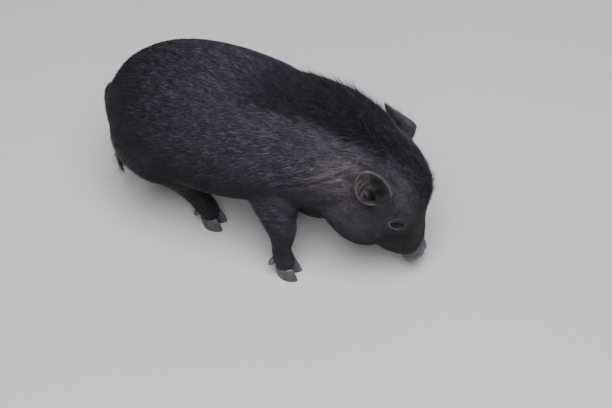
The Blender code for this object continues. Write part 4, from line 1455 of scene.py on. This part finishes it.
def grown(name, hair, rng, rings, sway=0.08, bend=0.52):
    """Closed, keeled, bent tufts as one mesh, each a small patch on the hide's unwrap."""
    count = len(hair.roots)
    side = np.cross(hair.normals, hair.flow)
    turn = rng.normal(0, sway, count)[:, None]
    flow = unit(hair.flow + side * turn)
    side = np.cross(hair.normals, flow)
    curl = rng.normal(0, 0.07, count)[:, None]
    length, width, rise = (values[:, None] for values in (hair.length, hair.width, hair.rise))
    steps = np.linspace(0, 1, rings + 1)
    points = np.empty((count, 3 * rings + 1, 3))
    for i, share in enumerate(steps):
        climb = rise * (share - bend * share**2)
        reach = share * (1 - 0.18 * rise * (1 - share))
        centre = hair.roots - hair.normals * (0.35 * width) + length * (
            hair.normals * climb + flow * reach + side * curl * share**2
        )
        if i == rings:
            points[:, -1] = centre
            break
        half = width / 2 * (0.75, 1.0, 0.62)[i] if rings == 3 else width / 2 * (0.85, 0.78)[i]
        deep = half * 0.62
        points[:, 3 * i] = centre + side * half - hair.normals * deep * 0.5
        points[:, 3 * i + 1] = centre + hair.normals * deep
        points[:, 3 * i + 2] = centre - side * half - hair.normals * deep * 0.5
    faces = [(2, 1, 0)]
    for i in range(rings - 1):
        for a, b in ((0, 1), (1, 2), (2, 0)):
            low, high = 3 * i, 3 * i + 3
            faces += [(low + a, low + b, high + b), (low + a, high + b, high + a)]
    last = 3 * (rings - 1)
    faces += [(last + a, last + b, 3 * rings) for a, b in ((0, 1), (1, 2), (2, 0))]
    per = 3 * rings + 1
    corners = (np.array(faces)[None, :, :] + per * np.arange(count)[:, None, None]).reshape(-1)
    mesh = bpy.data.meshes.new(name)
    mesh.vertices.add(count * per)
    mesh.vertices.foreach_set("co", points.astype(np.float32).ravel())
    mesh.loops.add(len(corners))
    mesh.loops.foreach_set("vertex_index", corners.astype(np.int32))
    mesh.polygons.add(len(corners) // 3)
    mesh.polygons.foreach_set("loop_start", np.arange(0, len(corners), 3, dtype=np.int32))
    mesh.update(calc_edges=True)
    patch = PATCH * np.array([(i // 3 / rings, (i % 3) / 2) for i in range(3 * rings)] + [(1.0, 0.5)])
    places = hair.uv[:, None, :] + (patch - PATCH / 2)[None, :, :]
    layer = mesh.uv_layers.new(name="OFBake")
    layer.data.foreach_set("uv", places.reshape(-1, 2)[corners].astype(np.float32).ravel())
    along = np.array([i // 3 / rings for i in range(3 * rings)] + [1.0])
    shade = hair.shade[:, None] * (0.72 + 0.28 * along[None, :])
    store(mesh, "shade", shade.ravel())
    store(mesh, "warm", np.repeat(hair.warm, per))
    return link(name, mesh)


def swirl(points, run, bend):
    """Waves along the run, bent by others, from -1 to 1."""
    return np.sin(points @ np.array(run) + 2.0 * np.sin(points @ np.array(bend)))


def shades(rng, points, normals):
    """How light each tuft is: mostly dark, some grey, in soft streaks that are partly painted sheen; with
    painted light towards the shoulders and painted shade on the rump, the muzzle and the parts that face
    down.
    """
    sheen_streak = 0.5 + 0.5 * swirl(points, *SHEEN_STREAKS)
    # painted shade on the muzzle's hair
    light = rng.beta(1.6, 3.2, len(points)) * (0.65 + 0.55 * sheen_streak) * (1 - 0.80 * muzzle_shade_share(points))
    # Painted light: lighter towards the shoulders and the neck. Painted shade: darker on the rump and where
    # the hair faces down
    x = local(BODY, points)[:, 0]
    light = light * (0.68 + 0.72 * ramp(-0.13, 0.02, x))
    light = light * (1 - 0.80 * ramp(RUMP_X + 0.075, RUMP_X + 0.005, x))
    light = light * (1 - 0.75 * ramp(0.45, -0.45, normals[:, 2]))
    crest, along = crest_share(points)
    light = light * (1 - 0.60 * crest * ramp(0.20, 0.60, along)) * (1 - 0.65 * leg_share(points))
    return np.clip(light, 0, 1)


class PIG_OT_coat(bpy.types.Operator):
    """Grows the short coat over the whole hide"""

    bl_idname = "pig.coat"
    bl_label = "Coat"

    def execute(self, context):
        settings = context.scene.pig_coat
        rng = np.random.default_rng(COAT_SEED)
        skin = Skin(bpy.data.objects["hide"])
        density = coat_plan(skin.centres, skin.facing, skin.part, settings)[0]
        count = int((density * skin.area).sum() / MM**2)
        part, points, normals, uv = skin.draw(rng, density, count)
        _, length, width, rise = coat_plan(points, normals, part, settings)
        flow = lie_of_hair(points, normals, part)
        length = length * rng.uniform(0.72, 1.22, count)
        rise = rise * rng.uniform(0.6, 1.5, count)
        shade = shades(rng, points, normals)
        hair = Hair(points, normals, flow, length, width, rise, shade, warmth(points), uv)
        made = coat_material(settings)
        order = np.argsort(points[:, 0])
        for index, rows in enumerate(np.array_split(order, math.ceil(count / TUFTS_IN_PIECE))):
            piece = Hair(*(values[rows] for values in hair))
            finished(grown(f"coat_{index + 1}", piece, rng, rings=2), made, "coat")
        return {"FINISHED"}


class PIG_OT_crest(bpy.types.Operator):
    """Grows the standing bristles of the withers, nape and forehead"""

    bl_idname = "pig.crest"
    bl_label = "Crest"

    def execute(self, context):
        settings = context.scene.pig_coat
        rng = np.random.default_rng(CREST_SEED)
        skin = Skin(bpy.data.objects["hide"])
        weight = crest_share(skin.centres)[0] ** 1.5 * (skin.part == 0)
        count = settings.crest_count // 1
        part, points, normals, uv = skin.draw(rng, weight, count)
        share, along = crest_share(points)
        flow = lie_of_hair(points, normals, part)
        start = 0.42 + 0.58 * ramp(0.05, 0.50, along)
        length = settings.crest_length * (0.50 + 0.50 * share) * start * rng.uniform(0.75, 1.15, count)
        length = length * (1 - 0.22 * ramp(0.80, 1.0, along))
        lock = swirl(points, *LOCKS)
        length = length * (1 - 0.45 * ear_nearness(points)) * (0.88 + 0.22 * lock)
        parting = np.cos(3.0 * lock + 400.0 * points[:, 0])[:, None]
        flow = unit(flow + 0.22 * np.cross(normals, flow) * parting)
        rise = (0.40 + 0.45 * share) * (0.6 + 0.4 * start) * rng.uniform(0.75, 1.2, count)
        width = np.full(count, CREST_WIDTH)
        shade = CREST_SHADE * shades(rng, points, normals)
        hair = Hair(points, normals, flow, length, width, rise, shade, 0 * length, uv)
        finished(grown("crest", hair, rng, rings=3, sway=0.09, bend=0.22), coat_material(settings), "coat")
        return {"FINISHED"}


def tail_weight(skin):
    low = ramp(TAIL_TUFT_TOP, TAIL_TUFT_TOP - 0.05, skin.centres[:, 2])
    return (skin.part == TAIL_PART) * (0.05 + low)


def lash_weight(skin):
    weight = np.zeros(len(skin.centres))
    for side in SIDES.values():
        x, y, z = local(lid_matrix(side), skin.centres).T
        edge = np.hypot(y / (EYE_LENGTH / 2 + 1.2 * MM), z / (EYE_HEIGHT / 2 + 1.2 * MM))
        weight += bell((edge - 1.0) / 0.10) * (z > -0.001) * (x > 0.003)
    return weight


def whisker_weight(skin):
    x, _, z = local(HEAD, skin.centres).T
    chin = ramp(0.062, 0.080, x) * ramp(-0.016, -0.026, z)
    brow = bell((x - 0.036) / 0.008, (z - 0.024) / 0.005)
    return (chin + 0.8 * brow + 0.12 * ramp(0.070, 0.100, x)) * head_share(skin.centres)


def wisp_weight(skin):
    inner = ear_inside(skin.centres, skin.facing)
    weight = np.zeros(len(skin.centres))
    for ear in EARS.values():
        at = local(ear_matrix(ear), skin.centres)
        near = np.linalg.norm(at, axis=1) < 0.045
        edge = ramp(0.006, 0.012, np.abs(at[:, 1]))
        weight = np.where(near, (skin.part == EAR_PART) * (0.25 + inner * edge), weight)
    return weight


# Long hairs: name, where they grow, count, least and greatest length in millimetres, least and
# greatest rise, width in millimetres
TUFTS = (
    ("tail_tuft", tail_weight, 560, (12, 22), (0.03, 0.13), 0.28),
    ("lashes", lash_weight, 110, (3.5, 6.0), (0.9, 1.4), 0.16),
    ("whiskers", whisker_weight, 150, (4.0, 9.0), (0.7, 1.2), 0.13),
    ("ear_wisps", wisp_weight, 520, (6.0, 11.0), (0.3, 0.9), 0.15),
)


class PIG_OT_whiskers(bpy.types.Operator):
    """Grows the tail's tuft, the lashes, the whiskers and the wisps of the ears"""

    bl_idname = "pig.whiskers"
    bl_label = "Whiskers and tail tuft"

    def execute(self, context):
        rng = np.random.default_rng(WHISKER_SEED)
        skin = Skin(bpy.data.objects["hide"])
        made = coat_material(context.scene.pig_coat)
        for name, weight, count, lengths, rises, width in TUFTS:
            part, points, normals, uv = skin.draw(rng, weight(skin), count)
            flow = lie_of_hair(points, normals, part)
            length = rng.uniform(*lengths, count) * MM
            rise = rng.uniform(*rises, count)
            shade = 0.6 * shades(rng, points, normals)
            widths = np.full(count, width * MM)
            hair = Hair(points, normals, flow, length, widths, rise, shade, warmth(points), uv)
            finished(grown(name, hair, rng, rings=3, sway=0.2), made, "coat")
        return {"FINISHED"}


def area_light(name, at, target, size, power, tint):
    light = bpy.data.lights.new(name, "AREA")
    light.shape = "DISK"
    light.size = size
    light.energy = power
    light.color = tint
    obj = bpy.data.objects.new(name, light)
    obj.location = at
    obj.rotation_euler = (Vector(target) - Vector(at)).to_track_quat("-Z", "Y").to_euler()
    bpy.context.scene.collection.objects.link(obj)


class PIG_OT_studio(bpy.types.Operator):
    """Sets the pale floor, the soft lights and the camera"""

    bl_idname = "pig.studio"
    bl_label = "Studio"

    def execute(self, context):
        settings = context.scene.pig_studio
        bm = bmesh.new()
        bmesh.ops.create_grid(bm, x_segments=1, y_segments=1, size=FLOOR_REACH)
        floor = link_bmesh("floor", bm)
        made, _, shader = principled("floor", 0.85)
        shader.inputs["Base Color"].default_value = colour(settings.floor)
        floor.data.materials.append(made)
        aim = BODY @ Vector(AIM)
        for name, at, size, power, tint in LIGHTS:
            area_light(name, at, aim, size, power, tint)
        world = bpy.data.worlds.new("studio")
        world.use_nodes = True
        sky = world.node_tree.nodes["Background"]
        sky.inputs["Color"].default_value = SKY
        sky.inputs["Strength"].default_value = SKY_STRENGTH
        context.scene.world = world
        camera = bpy.data.cameras.new("camera")
        camera.lens = settings.lens
        camera.clip_start = 0.01
        obj = bpy.data.objects.new("camera", camera)
        turn, lift = settings.azimuth, settings.elevation
        back = Vector((math.sin(turn) * math.cos(lift), -math.cos(turn) * math.cos(lift), math.sin(lift)))
        obj.location = aim + back * settings.distance
        obj.rotation_euler = (-back).to_track_quat("-Z", "Y").to_euler()
        context.scene.collection.objects.link(obj)
        context.scene.camera = obj
        return {"FINISHED"}


STEPS = (
    PIG_OT_hide,
    PIG_OT_snout,
    PIG_OT_eyes,
    PIG_OT_claws,
    PIG_OT_coat,
    PIG_OT_crest,
    PIG_OT_whiskers,
    PIG_OT_studio,
)
SETTINGS = {"pig_hide": PigHideSettings, "pig_coat": PigCoatSettings, "pig_studio": PigStudioSettings}


class PIG_PT_panel(bpy.types.Panel):
    """Lists the pig's pieces and their settings"""

    bl_idname = "PIG_PT_panel"
    bl_label = "Miniature pig"
    bl_space_type = "VIEW_3D"
    bl_region_type = "UI"
    bl_category = "Pig"

    def draw(self, context):
        for name, group in SETTINGS.items():
            box = self.layout.box()
            for key in group.__annotations__:
                box.prop(getattr(context.scene, name), key)
        for step in STEPS:
            self.layout.operator(step.bl_idname)


def register():
    for group in (*SETTINGS.values(), *STEPS, PIG_PT_panel):
        bpy.utils.register_class(group)
    for name, group in SETTINGS.items():
        setattr(bpy.types.Scene, name, PointerProperty(type=group))


def unregister():
    for name in SETTINGS:
        delattr(bpy.types.Scene, name)
    for group in (PIG_PT_panel, *reversed(STEPS), *SETTINGS.values()):
        bpy.utils.unregister_class(group)


def main():
    register()
    bpy.ops.pig.hide()
    bpy.ops.pig.snout()
    bpy.ops.pig.eyes()
    bpy.ops.pig.claws()
    bpy.ops.pig.coat()
    bpy.ops.pig.crest()
    bpy.ops.pig.whiskers()
    bpy.ops.pig.studio()


if __name__ == "__main__":
    main()
